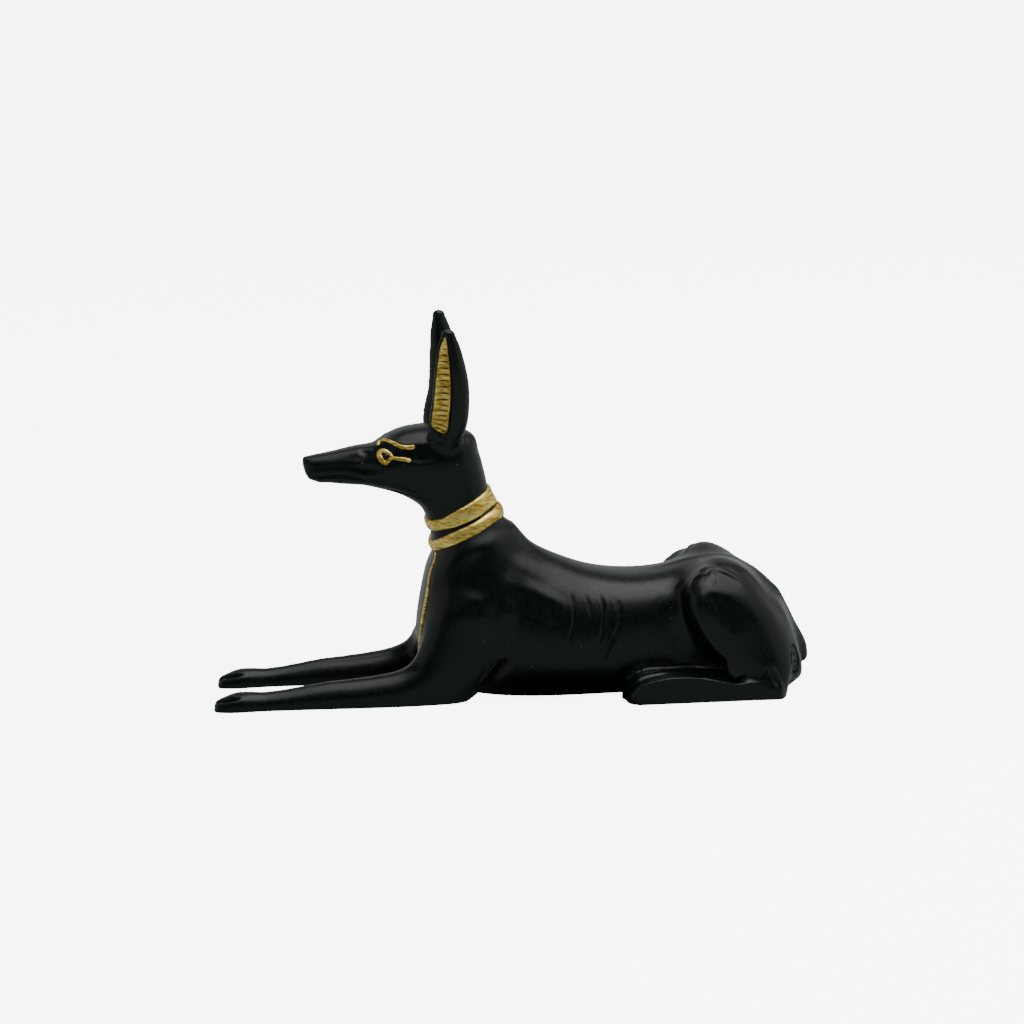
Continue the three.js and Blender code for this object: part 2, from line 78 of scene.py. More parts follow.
# %% [markdown]
# ## The body as a row of frames
#
# A boat builder describes a hull by frames: at each station a closed outline, and planks run over
# them. The trunk of the animal is drawn the same way. Each row holds the outline's top point and bottom
# point in the side view, half its width, how far it stands off the middle, how high up it is widest,
# and how full its upper and lower corners are: 2 is an ellipse, 4 is nearly a box.

# %% Rows of the trunk, from the rump to the nose


def row(top, bottom, half, side=0.0, widest=0.5, full=(2.1, 2.3)):
    """One frame as nine numbers."""
    return [*top, *bottom, half, side, widest, *full]


TRUNK = [
    row((88.8, 30), (96.6, 1.0), 19.4, 0, 0.44, (2.3, 2.9)),
    row((83.5, 36.4), (89.6, -3.5), 22.6, 0, 0.48, (2.2, 3)),
    row((77, 41.3), (82, -4.5), 24.6, 0, 0.48, (2.3, 3.6)),
    row((70, 42.7), (72, -4.5), 22.4, 0, 0.49, (2.5, 2.7)),
    row((61, 41.6), (61, -4.5), 18.6, 0, 0.49, (2.5, 2.3)),
    row((50, 39.1), (50, -4.5), 17.6, 0, 0.46, (2.7, 2.3)),
    row((38, 38.8), (38, -4.5), 18.6, 0, 0.43, (2.7, 2.2)),
    row((26, 41), (26, -4.5), 19.4, 0, 0.42, (2.3, 2.2)),
    row((14.5, 45.5), (13, -4), 19.6, 0, 0.41, (2.05, 2.4)),
    row((8.4, 48.8), (0, -3.5), 19.1, 0, 0.42, (2.0, 2.3)),
    row((5.2, 51.9), (-14, 0), 18.2, 0, 0.44, (2.0, 2.4)),
    row((2.9, 54.8), (-27.2, 5), 17.4, 0, 0.44, (2.1, 3)),
    row((1.5, 56.2), (-30.2, 17), 16.6, 0, 0.46, (2.1, 3.1)),
    row((0.4, 56.6), (-29.6, 28), 15.4, 0, 0.48, (2.1, 2.9)),
    row((-0.6, 57.2), (-27.4, 39.5), 13.6, 0, 0.5, (2.1, 2.6)),
    row((-1.4, 57.7), (-24.7, 47), 12, 0, 0.5, (2.1, 2.4)),
    row((-2.6, 60.9), (-25.3, 50.2), 11.4),
    row((-3.2, 62.1), (-25.4, 54.2), 11),
    row((-6, 66.1), (-26.7, 58), 10.5),
    row((-7.6, 73), (-28.5, 61.9), 10.4, 0, 0.5, (2.2, 2.3)),
    row((-9.5, 80), (-31.8, 64.6), 10.9, 0, 0.5, (2.3, 2.3)),
    row((-12, 86.2), (-36, 66.8), 11.2, 0, 0.5, (2.3, 2.3)),
    row((-22.5, 89.4), (-40.4, 68.2), 10.9, 0, 0.5, (2.4, 2.2)),
    row((-32, 89.0), (-44.2, 69.2), 9.7, 0, 0.5, (2.4, 2.2)),
    row((-38.2, 87.1), (-47.4, 69.9), 8.3, 0, 0.5, (2.4, 2.2)),
    row((-43.6, 83.9), (-50.4, 70.2), 6.9, 0, 0.5, (2.5, 2.2)),
    row((-50, 82.9), (-54.4, 70.5), 5.7, 0, 0.5, (2.5, 2.2)),
    row((-57, 81.4), (-59, 71), 4.8, 0, 0.5, (2.5, 2.2)),
    row((-62.8, 80.4), (-61.8, 71.2), 4.1, 0, 0.5, (2.4, 2.5)),
    row((-66.4, 79.7), (-64.2, 72.1), 3.2, 0, 0.55, (2.5, 2.7)),
]
print("the trunk has", len(TRUNK), "frames")

# %% [markdown]
# The limbs are short hulls of their own, drawn once and made for both flanks.

# %% Rows of the limbs
FORELEG = [
    row((-96.9, 3.2), (-97.1, -3), 3.2, 13.9, 0.55, (2.4, 4)),
    row((-94, 4.4), (-94, -3.4), 3.9, 14, 0.56, (2.2, 4)),
    row((-90.5, 5.6), (-90.5, -3.4), 4.3, 14, 0.55, (2.2, 4)),
    row((-86.5, 5.8), (-86.5, -3.4), 4, 14.1, 0.54, (2.0, 4)),
    row((-81, 5.6), (-81, -3.4), 3.7, 14.1, 0.54, (1.9, 4)),
    row((-74, 6.3), (-74, -3.4), 3.8, 14.2, 0.53, (1.85, 4)),
    row((-62, 8.1), (-62, -3.4), 4.3, 14.3, 0.5, (1.8, 4)),
    row((-50, 9.1), (-50, -3.4), 4.8, 14.4, 0.49, (1.8, 4)),
    row((-40, 10.4), (-38, -3.4), 5.2, 14.4, 0.5, (1.9, 3.8)),
    row((-35.2, 12), (-26.5, -3.2), 5.5, 14, 0.52, (2.2, 3.6)),
    row((-32.6, 14.8), (-17, -1.2), 6.3, 13.2, 0.5, (2.2, 2.8)),
    row((-30, 20.4), (-10, 4), 7.2, 12.4, 0.5, (2.2, 2.6)),
    row((-27.6, 27.4), (-5.2, 13.2), 7.1, 12, 0.5, (2.4, 2.3)),
    row((-24.6, 34), (-2, 24), 6.8, 11.8, 0.5, (2.4, 2.3)),
    row((-18, 41), (1, 34), 5.4, 11.4, 0.5, (2.2, 2.2)),
]
THIGH = [
    row((61, 42), (67, 42), 2.5, 17.6),
    row((57, 37.6), (75, 38.2), 5.4, 18, 0.64, (2.3, 2.2)),
    row((55.4, 33), (82, 33), 7.6, 18.3, 0.66, (2.6, 2.2)),
    row((56.4, 26), (87.4, 25.6), 8.7, 18.3, 0.66, (2.8, 2.2)),
    row((60.4, 18.6), (91, 17.6), 9, 18.4, 0.66, (2.8, 2.3)),
    row((67.6, 11.6), (92, 10.5), 8.6, 19.2, 0.6, (2.6, 2.5)),
    row((74.6, 5.6), (90.4, 4.5), 7.4, 20.8, 0.5, (2.4, 2.6)),
    row((79, -3), (88.6, -3), 6, 22.6, 0.5, (2.4, 2.6)),
]
HIP = [
    row((61.5, 41), (63, 34), 4.5, 11),
    row((67.6, 45.2), (68, 32), 8.4, 11.2),
    row((75.4, 42.6), (75, 30), 9, 11.4),
    row((82, 37), (80, 27), 7, 11),
]
HIND_FOOT = [
    row((36.6, 4.4), (37.2, -3.6), 4.6, 23, 0.56, (2.6, 4)),
    row((40, 8.2), (40, -3.6), 5.7, 23.4, 0.55, (3.4, 6)),
    row((47, 9.4), (47, -3.6), 6, 23.6, 0.54, (4, 8)),
    row((58, 9.4), (58, -3.6), 6, 23.7, 0.54, (4, 8)),
    row((69, 8), (69, -3.6), 5.8, 23.8, 0.54, (5, 8)),
    row((78, 6.6), (78, -3.6), 5.8, 23.8, 0.54, (4, 8)),
    row((86.2, 6), (86.6, -3.6), 5.3, 23.6, 0.54, (3.4, 6)),
]
TOE = [
    row((0, 3.4), (0.4, -3.4), 1.4, 0, 0.55, (2.2, 3)),
    row((2.2, 6), (2.4, -3.4), 2, 0, 0.52, (2.2, 3)),
    row((7, 7.8), (7, -3.4), 2.1, 0, 0.52, (2.2, 3)),
    row((16, 8), (16, -3.4), 1.9, 0, 0.52, (2.2, 3)),
]
TOE_TIPS = [(38.6, 27), (36.9, 23.3), (35.4, 19.6)]
TAIL = [
    row((75.5, 42.6), (73, 34), 4),
    row((84.9, 38), (80, 30), 4.5),
    row((90.7, 31.8), (85, 25), 4.5),
    row((94.4, 25.4), (88.4, 20), 4.4),
    row((97.8, 18.6), (91, 14), 4.3),
    row((101.4, 12), (93, 9), 4.2),
    row((102.4, 6.6), (94, 5.4), 4),
]
print("limb rows:", len(FORELEG), len(THIGH), len(HIP), len(HIND_FOOT), len(TAIL))

# %% [markdown]
# ## From rows to a skin
#
# Between two frames the hull has to run smoothly, so every column of the table is joined by a
# Catmull-Rom curve, which passes through all its points. Place 3.5 lies halfway between rows 3 and 4.

# %% Read a table between its rows


def through(rows, places):
    """The table's columns at fractional places, on a smooth curve through its rows."""
    rows = np.array(rows, float)
    ends = np.vstack([2 * rows[0] - rows[1], rows, 2 * rows[-1] - rows[-2]])
    places = np.clip(np.atleast_1d(np.asarray(places, float)), 0, len(rows) - 1)
    first = np.minimum(places.astype(int), len(rows) - 2)
    t = (places - first)[:, None]
    a, b, c, d = (ends[first + k] for k in range(4))
    return 0.5 * (2 * b + (c - a) * t + (2 * a - 5 * b + 4 * c - d) * t**2 + (3 * b - a - 3 * c + d) * t**3)


def on_hull(rows, places, angles, hand=FAR, proud=0.0):
    """Points of a hull at these places and angles: 0 is outwards, a quarter turn is the top line."""
    places, angles, proud = np.broadcast_arrays(places, angles, proud)
    tx, tz, bx, bz, half, side, widest, upper, lower = through(rows, places).T
    c, s = np.cos(angles), np.sin(angles)
    full = np.where(s >= 0, upper, lower)
    length = np.hypot(tx - bx, tz - bz)
    up_x, up_z = (tx - bx) / length, (tz - bz) / length
    reach = np.where(s >= 0, 1 - widest, widest) * length + proud
    along = widest * length + np.sign(s) * np.abs(s) ** (2 / full) * reach
    across = np.sign(c) * np.abs(c) ** (2 / full) * (half + proud)
    return np.column_stack([bx + up_x * along, hand * (side + across), bz + up_z * along])


print("top of the trunk at place 9:", on_hull(TRUNK, [9], [math.pi / 2]).round(1).tolist())

# %% [markdown]
# A skin is made the way a potter pulls up a wall. One circle is created and set onto the first outline, and
# its edge is extruded from outline to outline. Both ends are rounded off by rings that shrink as
# a quarter circle does.

# %% Stretch a skin over rings


def rounded(rings, caps, steps=5):
    """The same rings with domed ends that stand out by these two heights."""
    out = list(rings)
    for end, inner, cap in ((0, 1, caps[0]), (-1, -2, caps[1])):
        ring = rings[end]
        middle = ring.mean(axis=0)
        outwards = np.cross(ring[0] - middle, ring[len(ring) // 4] - middle)
        outwards /= np.linalg.norm(outwards)
        if np.dot(outwards, rings[inner].mean(axis=0) - middle) > 0:
            outwards = -outwards
        for k in range(1, steps + 1 if cap else 0):
            turn = math.radians(88 * k / steps)
            dome = middle + (ring - middle) * math.cos(turn) + outwards * cap * math.sin(turn)
            out = [dome, *out] if end == 0 else [*out, dome]
    return out


def rim_of(ring):
    """The edges that join a ring of vertices."""
    rim = []
    for before, vert in zip([ring[-1], *ring], ring):
        rim.append(next(edge for edge in vert.link_edges if edge.other_vert(vert) is before))
    return rim


def add_skin(bm, rings, closed=False):
    """A tube over the rings, with its ends filled, or with the last ring joined to the first."""
    ring = bmesh.ops.create_circle(bm, cap_ends=not closed, segments=len(rings[0]), radius=1)["verts"]
    first = ring
    for step, points in enumerate(rings):
        if step:
            made = bmesh.ops.extrude_edge_only(bm, edges=rim_of(ring))["geom"]
            fresh = {item for item in made if isinstance(item, bmesh.types.BMVert)}
            ring = [next(e.other_vert(v) for e in v.link_edges if e.other_vert(v) in fresh) for v in ring]
        for vert, point in zip(ring, points):
            vert.co = point
    if closed:
        bmesh.ops.bridge_loops(bm, edges=rim_of(ring) + rim_of(first))
    else:
        bmesh.ops.contextual_create(bm, geom=rim_of(ring))


def hull(bm, rows, hand=FAR, caps=(1, 1), run=None, count=64, steps=6, eased=None):
    """A whole hull, or the run of it between two places, optionally eased out of its drawing."""
    first, last = run or (0, len(rows) - 1)
    places = np.linspace(first, last, round((last - first) * steps) + 1)
    angles = np.arange(count) * 2 * math.pi / count
    rings = [on_hull(rows, place, angles, hand) for place in places]
    if eased:
        rings = [eased(ring) for ring in rings]
    add_skin(bm, rounded(rings, caps))


# %% [markdown]
# ## Trunk and limbs in one mesh
#
# The far hind leg lies a little lower and further forward than the near one, and the far forepaw reaches
# a little less far, so their rings are eased over before they are skinned.

# %% Skin the trunk and the limbs


def smoothstep(value, low, high):
    """0 below low, 1 above high, and an S-shaped rise between."""
    share = np.clip((value - low) / (high - low), 0, 1)
    return share * share * (3 - 2 * share)


def shorter(ring):
    """The far foreleg, drawn back towards its paw."""
    shift = 2.4 * smoothstep(-ring[:, 0], 40, 90) + 1.2 * smoothstep(ring[:, 2], 9, 15)
    return ring + np.outer(shift, [1, 0, 0])


def lower_knee(ring):
    """The far thigh, let down and forward towards its knee."""
    share = smoothstep(ring[:, 2], 15, 40)
    return ring - np.outer(share, [1.9, 0, 2.4])


COLLAR_SEAM = 17.5
figure = bmesh.new()
hull(figure, TRUNK, caps=(3.2, 0), run=(0, COLLAR_SEAM), count=96)
hull(figure, TAIL, caps=(1.5, 1.8))
for hand in FLANKS:
    hull(figure, FORELEG, hand, (0.7, 2), eased=shorter if hand == FAR else None)
    hull(figure, THIGH, hand, (1.4, 0.8), eased=lower_knee if hand == FAR else None)
    hull(figure, HIP, hand)
    hull(figure, HIND_FOOT, hand, (1.2, 1.6))
    for reach, side in TOE_TIPS:
        toe = np.array(TOE) + [reach, 0, reach, 0, 0, side, 0, 0, 0]
        hull(figure, toe, hand, (0.8, 0.8), count=32)
print("skins of the body:", len(figure.verts), "points")

# %% [markdown]
# ## Fuse the skins
#
# A casting has no seams between its limbs and its trunk. The voxel Remesh modifier fills the
# skins' common inside with tiny cubes and draws one new skin of even squares round them, which also
# gives a surface that can be modelled like clay.

# %% Fuse a mesh of overlapping skins
BODY_SQUARE, HEAD_SQUARE = 0.8, 0.45


def fused(bm, name, square):
    """One skin of even squares round everything in the mesh."""
    rough = bpy.data.meshes.new(name)
    bm.to_mesh(rough)
    bm.free()
    holder = bpy.data.objects.new(name, rough)
    bpy.context.scene.collection.objects.link(holder)
    remesh = holder.modifiers.new("fuse", "REMESH")
    remesh.mode = "VOXEL"
    remesh.voxel_size = square
    even = bpy.data.meshes.new_from_object(holder.evaluated_get(bpy.context.evaluated_depsgraph_get()))
    bpy.data.objects.remove(holder)
    bpy.data.meshes.remove(rough)
    return even


body_mesh = fused(figure, "jackal_body", BODY_SQUARE)
print("fused body:", len(body_mesh.polygons), "squares")

# %% [markdown]
# ## Clay tools
#
# A modeller works a figure with a few tools: a thumb that evens the surface, a wet finger that fills the
# sharp valleys where two forms meet, a flat knife that scrapes, and a loop or a needle that presses
# grooves. Each tool here moves the points of the mesh, stronger in the middle of the touch than at its edge.

# %% The clay


def falls(value, low, high):
    """1 below low, 0 above high, and an S-shaped fall between."""
    return 1 - smoothstep(value, low, high)


def between(value, rise, fall):
    """1 between two limits; each is a pair of values that the change runs over."""
    return smoothstep(value, *rise) * falls(value, *fall)


def tapered(count, depth, share):
    """Depths along a line that fade over this share of it at both ends, or stay whole at share 0."""
    if share == 0:
        return np.full(count, depth)
    run = np.linspace(0, 1, count)
    return depth * np.clip(np.minimum(run, 1 - run) / share, 0, 1) ** 0.7


def triples(items, name):
    """Three numbers of every item of a mesh, one item a row."""
    values = np.empty(3 * len(items), np.float32)
    items.foreach_get(name, values)
    return values.reshape(-1, 3).astype(float)


class Clay:
    """A mesh in the drawing's millimetres whose points are moved as a modeller moves clay."""

    def __init__(self, mesh):
        self.mesh = mesh
        self.look()

    def look(self):
        """Reads every point, its outward direction and its neighbours."""
        self.points = triples(self.mesh.vertices, "co")
        self.outward = triples(self.mesh.vertex_normals, "vector")
        self.pairs = np.empty(2 * len(self.mesh.edges), np.int32)
        self.mesh.edges.foreach_get("vertices", self.pairs)
        self.pairs = self.pairs.reshape(-1, 2)
        self.around = np.bincount(self.pairs.ravel(), minlength=len(self.points))

    def set(self):
        """Puts the moved points back into the mesh."""
        self.mesh.vertices.foreach_set("co", self.points.astype(np.float32).ravel())
        self.mesh.update()
        self.look()

    def settle(self):
        """Sets the points and makes the tree of faces that a line is draped on."""
        self.set()
        faces = [tuple(face.vertices) for face in self.mesh.polygons]
        self.tree = BVHTree.FromPolygons(self.points.tolist(), faces)

    def pull(self):
        """The way from every point to the middle of its neighbours."""
        a, b = self.pairs.T
        size = len(self.points)
        total = [np.bincount(a, axis[b], size) + np.bincount(b, axis[a], size) for axis in self.points.T]
        return np.column_stack(total) / self.around[:, None] - self.points

    def even(self, weight=0.5, rounds=1):
        """Evens the surface with a thumb."""
        for _ in range(rounds):
            self.points += self.pull() * np.reshape(weight, (-1, 1))
        self.set()

    def fill(self, weight, rounds, sharp=0.02):
        """Fills the valleys where two forms meet, and leaves ridges as they are."""
        for turn in range(rounds):
            pull = self.pull()
            deep = np.einsum("ij,ij->i", pull, self.outward)
            self.points += pull * (np.clip(deep / sharp, 0, 1) * weight * 0.5)[:, None]
            if turn % 10 == 9:
                self.set()
        self.set()

    def press(self, line, width, depth):
        """Presses a rounded groove along a line of points; a negative depth raises a ridge."""
        low, high = line.min(axis=0) - width, line.max(axis=0) + width
        near = np.flatnonzero(np.all((self.points > low) & (self.points < high), axis=1))
        gap = np.linalg.norm(self.points[near, None] - line[None], axis=2) / width
        push = np.clip(1 - gap**2, 0, 1) ** 2 * depth
        push = push[np.arange(len(near)), np.abs(push).argmax(axis=1)]
        self.points[near] -= self.outward[near] * push[:, None]

    def drape(self, path, hand=NEAR, spacing=0.25, look="side"):
        """A smooth line through the path, laid onto one side of the figure, and its outward directions."""
        corners = through(path, np.linspace(0, len(path) - 1, 40 * len(path)))
        run = np.r_[0, np.cumsum(np.linalg.norm(np.diff(corners, axis=0), axis=1))]
        spots = np.linspace(0, run[-1], max(3, round(run[-1] / spacing)))
        line = np.column_stack([np.interp(spots, run, corners[:, k]) for k in (0, 1)])
        ways = {"side": (0, -hand, 0), "inner": (0, hand, 0), "top": (0, 0, -1), "front": (1, 0, 0)}
        way = Vector(ways[look])
        away = 0 if look == "inner" else 150
        found = []
        for a, b in line:
            start = {"top": (a, hand * b, 0), "front": (0, hand * a, b)}.get(look, (a, 0, b))
            hit, outward, _, _ = self.tree.ray_cast(Vector(start) - way * away, way)
            if hit:
                found.append((*hit, *outward))
        found = np.array(found)
        return found[:, :3], found[:, 3:]

    def stroke(self, path, hand, width, depth, share=0.35, shift=(0, 0, 0), look="side", spacing=0.25):
        """Presses or raises one stroke along a draped path that fades at both ends."""
        line, _ = self.drape(path, hand, spacing, look)
        self.press(line + shift, width, tapered(len(line), depth, share))

    def scrape(self, near, place, facing):
        """Scrapes what stands beyond a plane down to it, as a flat knife does."""
        facing = np.array(facing, float) / np.linalg.norm(facing)
        beyond = np.clip((self.points - place) @ facing, 0, None) * near
        self.points -= beyond[:, None] * facing

    def facet(self, spot, hand, tilt, turn, reach, lean=0.0, depth=0.6):
        """A flat cut on a flank, tilted up and turned to the tail by these degrees, in a leaning oval."""
        hit, outward, _, _ = self.tree.ray_cast(Vector((spot[0], hand * 150, spot[1])), Vector((0, -hand, 0)))
        hit, outward = np.array(hit), np.array(outward)
        tilt, turn, lean = np.radians([tilt, turn, lean])
        facing = (math.sin(turn) * math.cos(tilt), hand * math.cos(turn) * math.cos(tilt), math.sin(tilt))
        across, up = self.points[:, 0] - spot[0], self.points[:, 2] - spot[1]
        gap = np.hypot(
            (across * math.cos(lean) + up * math.sin(lean)) / reach[0],
            (up * math.cos(lean) - across * math.sin(lean)) / reach[1],
        )
        near = falls(gap, 0.5, 1.0) * (np.abs(self.points[:, 1] - hit[1]) < 9)
        self.scrape(near, hit - outward * depth, facing)
        self.even(0.5 * np.sqrt(near), 8)

    def refine(self, chosen):
        """Cuts the squares whose points are all chosen into four."""
        bm = bmesh.new()
        bm.from_mesh(self.mesh)
        bm.verts.ensure_lookup_table()
        edges = [edge for edge in bm.edges if chosen[edge.verts[0].index] and chosen[edge.verts[1].index]]
        bmesh.ops.subdivide_edges(bm, edges=edges, cuts=1, use_grid_fill=True)
        bm.to_mesh(self.mesh)
        bm.free()
        self.look()


body = Clay(body_mesh)
print("body points:", len(body.points))

# %% [markdown]
# The valleys round the shoulders, hips and tail are wide and soft on the casting. In front of the thigh and
# above the hind foot they stay narrow, which is what draws the leg's outline.

# %% Fill the valleys and even the haunch
THIGH_FRONT = [(55.8, 31.6), (56.6, 27.2), (58.5, 22.8), (61, 18.6), (63.8, 15.2), (67, 12), (72, 7.4)]


def along_line(points, path, width, hand):
    """1 on a line of the side view, fading to 0 at its width, on one flank."""
    corners = through(path, np.linspace(0, len(path) - 1, 12 * len(path)))
    gap = np.linalg.norm(points[:, None, (0, 2)] - corners[None], axis=2).min(axis=1)
    return smoothstep(width - gap, 0, width * 0.5) * (hand * points[:, 1] > 6)


x, y, z = body.points.T
crisp = np.maximum(*(along_line(body.points, THIGH_FRONT, 6, hand) for hand in FLANKS))
on_foot = between(x, (32, 35), (80, 86)) * falls(z, 11, 15) * (np.abs(y) > 13)
crisp = np.maximum(crisp, on_foot)
body.fill(1 - 0.88 * crisp, 90)
x, y, z = body.points.T
over_near_knee = between(x, (50, 54), (74, 80)) * smoothstep(z, 33, 36) * (y < -6)
body.fill(over_near_knee, 160, sharp=0.004)
over_far_knee = between(x, (50, 54), (64, 68)) * smoothstep(z, 34, 37) * (y > 6)
body.even(0.5 * over_far_knee, 24)
x, y, z = body.points.T
haunch = smoothstep(x, 60, 70) * smoothstep(z, 10, 18) * (1 - crisp)
haunch *= 1 - smoothstep(x, 88, 92) * falls(np.abs(y), 6, 10)
body.even(0.5 * haunch, 90)
body.even(0.5, 2)
print("valleys filled")

# %% [markdown]
# The small forms need finer squares. Each area is a box: from and to along the figure, from and to in
# height, and the Y that it stays below.

# %% Finer squares where the small forms are
FINE_AREAS = {
    "forepaws": (-100, -86, -9, 9, 30),
    "near hind foot": (33, 90, -9, 13, -15),
    "near knee": (54, 80, 34, 46, -8),
    "near ribs": (12, 33, 10, 38, -8),
    "near elbow": (-16, 2, 2, 19, -9),
    "oval": (88, 110, 2, 18, -8),
}
x, y, z = body.points.T
fine = np.zeros(len(x), bool)
for x_low, x_high, z_low, z_high, y_high in FINE_AREAS.values():
    fine |= (x > x_low) & (x < x_high) & (z > z_low) & (z < z_high) & (y < y_high)
body.refine(fine)
body.even(0.5, 2)
body.settle()
print("after refining:", len(body.points))

# %% [markdown]
# ## Muscles of the body
#
# The muscles are raised and hollowed with wide strokes, evened where they should run out softly, and then cut
# with a few flat facets, which catch the light as the carved original's planes do.

# %% Wide strokes: a path in the side view, a width and a depth
MUSCLES = {
    "neck": ([(-26, 38), (-23.4, 43.6), (-18.4, 48.4), (-13.2, 51), (-9.3, 52.2), (-4.8, 53.6)], 6, -1.1),
    "withers": ([(1, 43.8), (4.9, 43.2), (9, 41)], 6, -0.45),
    "shoulder": ([(-2.6, 41), (-2.6, 36), (-3, 31), (-4.6, 24)], 5, -0.9),
}
CREST = [(-1.5, 40), (0.7, 38.9), (4, 37), (8.2, 34.6), (12.5, 32), (18, 29)]


def moved(path, across, up):
    """A path of the side view, moved."""
    return [(a + across, b + up) for a, b in path]


for hand in FLANKS:
    for path, width, depth in MUSCLES.values():
        body.stroke(path, hand, width, depth)
    body.stroke(moved(THIGH_FRONT, -4.2, -2), hand, 7.5, 1.1)
body.settle()
x, y, z = body.points.T
chest = between(-x, (14, 22), (32, 36)) * smoothstep(z, 10, 14) * falls(z, 34, 40)
body.even(0.5 * chest, 40)
x, y, z = body.points.T
shoulder = falls(np.hypot((x + 12.5) / 11, (z - 36.5) / 8), 0.5, 1)
body.even(0.5 * shoulder * (np.abs(y) > 7), 70)
body.settle()
for hand in FLANKS:
    body.facet((-9.6, 42.6), hand, 10, -6, (11, 8.5), lean=20, depth=0.3)
    body.facet((69.7, 29.8), hand, 10, 0, (15.5, 5.2), lean=-52, depth=0.5)
    body.stroke(CREST, hand, 4.5, -0.6)
body.settle()
for hand in FLANKS:
    body.facet((7.4, 31.6), hand, 11, 0, (12, 5), lean=-29, depth=0.2)
body.settle()
print("shoulder and thigh shaped")

# %% [markdown]
# ## Edges and grooves of the body
#
# Four ribs show behind the near shoulder, a fold at the elbow and another above the heel. The thigh has a
# raised edge, and two tendons run over the knee.

# %% Edge of the thigh, knee and spine
KNEE_FRONT = [(57.2, 35), (57.6, 37.4), (59, 39.6), (61.5, 41)]
KNEE_TOP = [(64.5, 42.4), (67.8, 41.8), (72.5, 39.3), (76, 36.4)]
KNEE = KNEE_FRONT + KNEE_TOP
TENDONS = [(62.6, 42.2), (62, 38.4)], [(64.8, 42), (64.4, 38)]
SPINE = [(46, 0), (60, 0), (70, 0), (80, 0)]
for hand in FLANKS:
    body.stroke(moved(THIGH_FRONT, 2, 1.2), hand, 1.8, -0.45)
    body.stroke(KNEE, hand, 1.3, -0.4)
    body.stroke(moved(KNEE[1:-1], 0.6, -1.6), hand, 1.5, 0.25)
    for tendon in TENDONS:
        body.stroke(tendon, hand, 0.8, -0.18)
body.stroke(SPINE, FAR, 2.4, -0.5, look="top")
body.settle()
print("edges raised")

# %% Ribs, elbow and heel
RIBS = [
    ([(19.2, 34.5), (19.5, 30), (19, 25.5), (17.6, 19.5)], 0.5),
    ([(23.9, 34), (24.6, 30), (24.4, 26.5)], 0.4),
    ([(28.8, 34), (29.5, 29.5), (29.1, 24.5), (27.8, 19.5)], 0.85),
    ([(32.6, 33.4), (34.5, 29.5), (34.4, 25), (32.9, 21.8), (31.2, 17.6), (29.0, 12.6)], 0.75),
]
ELBOW = [(-12, 5.9), (-10.5, 8), (-8.2, 10.8), (-6.1, 13.4), (-4, 15.4)]
HEEL = [(81.6, 8.9), (82.5, 10.2), (83.6, 10.3), (84.7, 8.5), (85.9, 5.8), (86.7, 3.2)]
for rib, depth in RIBS:
    body.stroke(rib, NEAR, 0.65, depth)
    body.stroke(rib, NEAR, 0.8, -depth * 0.3, shift=(-1.1, 0, 0))
for hand in FLANKS:
    body.stroke(moved(ELBOW, 2.2, -1.6), hand, 3.2, 1.0)
    body.stroke(ELBOW, hand, 0.9, -0.75)
    body.stroke(HEEL, hand, 0.9, 0.7, shift=(-1.1, 0, -0.6))
    body.stroke(HEEL, hand, 0.65, -0.5)
body.settle()
print("grooves pressed")

# %% [markdown]
# The hind foot is a flat slab: its outer face is upright, its upper edge is a narrow chamfer, and its top is
# nearly level. The rim is the line where the outer face ends in the side view.

# %% Faces of the hind foot
RIM_X = [36, 39.4, 42.4, 45.7, 50, 55.6, 61, 68, 75, 80]
RIM_Z = [3.6, 6, 7.3, 8, 8.6, 8.5, 8, 6.2, 4.4, 4]
OUTER_FACE = 28.9
CHAMFER = 0.25
for hand in FLANKS:
    x, y, z = body.points.T
    beside = (x > 36) & (x < 88) & (hand * y > 14) & (z < 13)
    body.scrape(beside * falls(x, 78, 86), (0, hand * OUTER_FACE, 0), (0, hand, 0.02))
    rim = np.interp(x, RIM_X, RIM_Z)
    over = np.clip(z - rim - CHAMFER * np.clip(OUTER_FACE - hand * y, 0, None), 0, None)
    body.points[:, 2] -= 0.85 * over * beside * smoothstep(hand * y, 23, 26) * falls(x, 70, 77)
body.even(0.25, 1)
body.settle()
print("foot squared")

# %% [markdown]
# The forepaws are cut with a short line from the tip on both their sides, and the hind toes with two lines
# each on their tops.

# %% Toes
FORE_TOES = [(-97.6, 2.6), (-95.6, 3.3), (-93, 4), (-89.6, 4.6)]
HIND_TOES = [(50, 21.6), (35.4, 21.4)], [(51, 25), (37.2, 25.2)]
FAR_PAW_BACK = 2.4
for hand in FLANKS:
    fore_toes = moved(FORE_TOES, FAR_PAW_BACK * (hand == FAR), 0)
    for look in ("side", "inner"):
        body.stroke(fore_toes, hand, 0.9, 1.25, share=0.25, look=look)
        body.stroke(fore_toes, hand, 0.9, -0.45, shift=(0.6, 0, -1.2), look=look)
    for toe in HIND_TOES:
        body.stroke(toe, hand, 0.65, 0.6, look="top")
body.settle()
print("toes pressed")

# %% [markdown]
# Low on the near haunch the casting bears a small upright oval. Here it holds three plain dots and no signs.

# %% Oval on the haunch
OVAL_MIDDLE, OVAL_SIZE, OVAL_LEAN = (92.4, 11.0), (1.5, 4.8), 0.12
OVAL_DOTS = [(92.2, 13.2), (92.7, 10.6), (92.9, 8.4)]
turns = np.linspace(0, 2 * math.pi, 60)
across = OVAL_MIDDLE[0] + OVAL_SIZE[0] * np.cos(turns)
up = OVAL_MIDDLE[1] + OVAL_SIZE[1] * np.sin(turns)
oval = np.column_stack([across - OVAL_LEAN * (up - OVAL_MIDDLE[1]), up])
body.stroke(oval, NEAR, 0.6, 0.7, share=0, spacing=0.15)
for spot in OVAL_DOTS:
    body.stroke([spot, *moved([spot], 0.3, -0.6)], NEAR, 0.7, -0.45, share=0, spacing=0.2)
body.settle()
print("oval pressed")

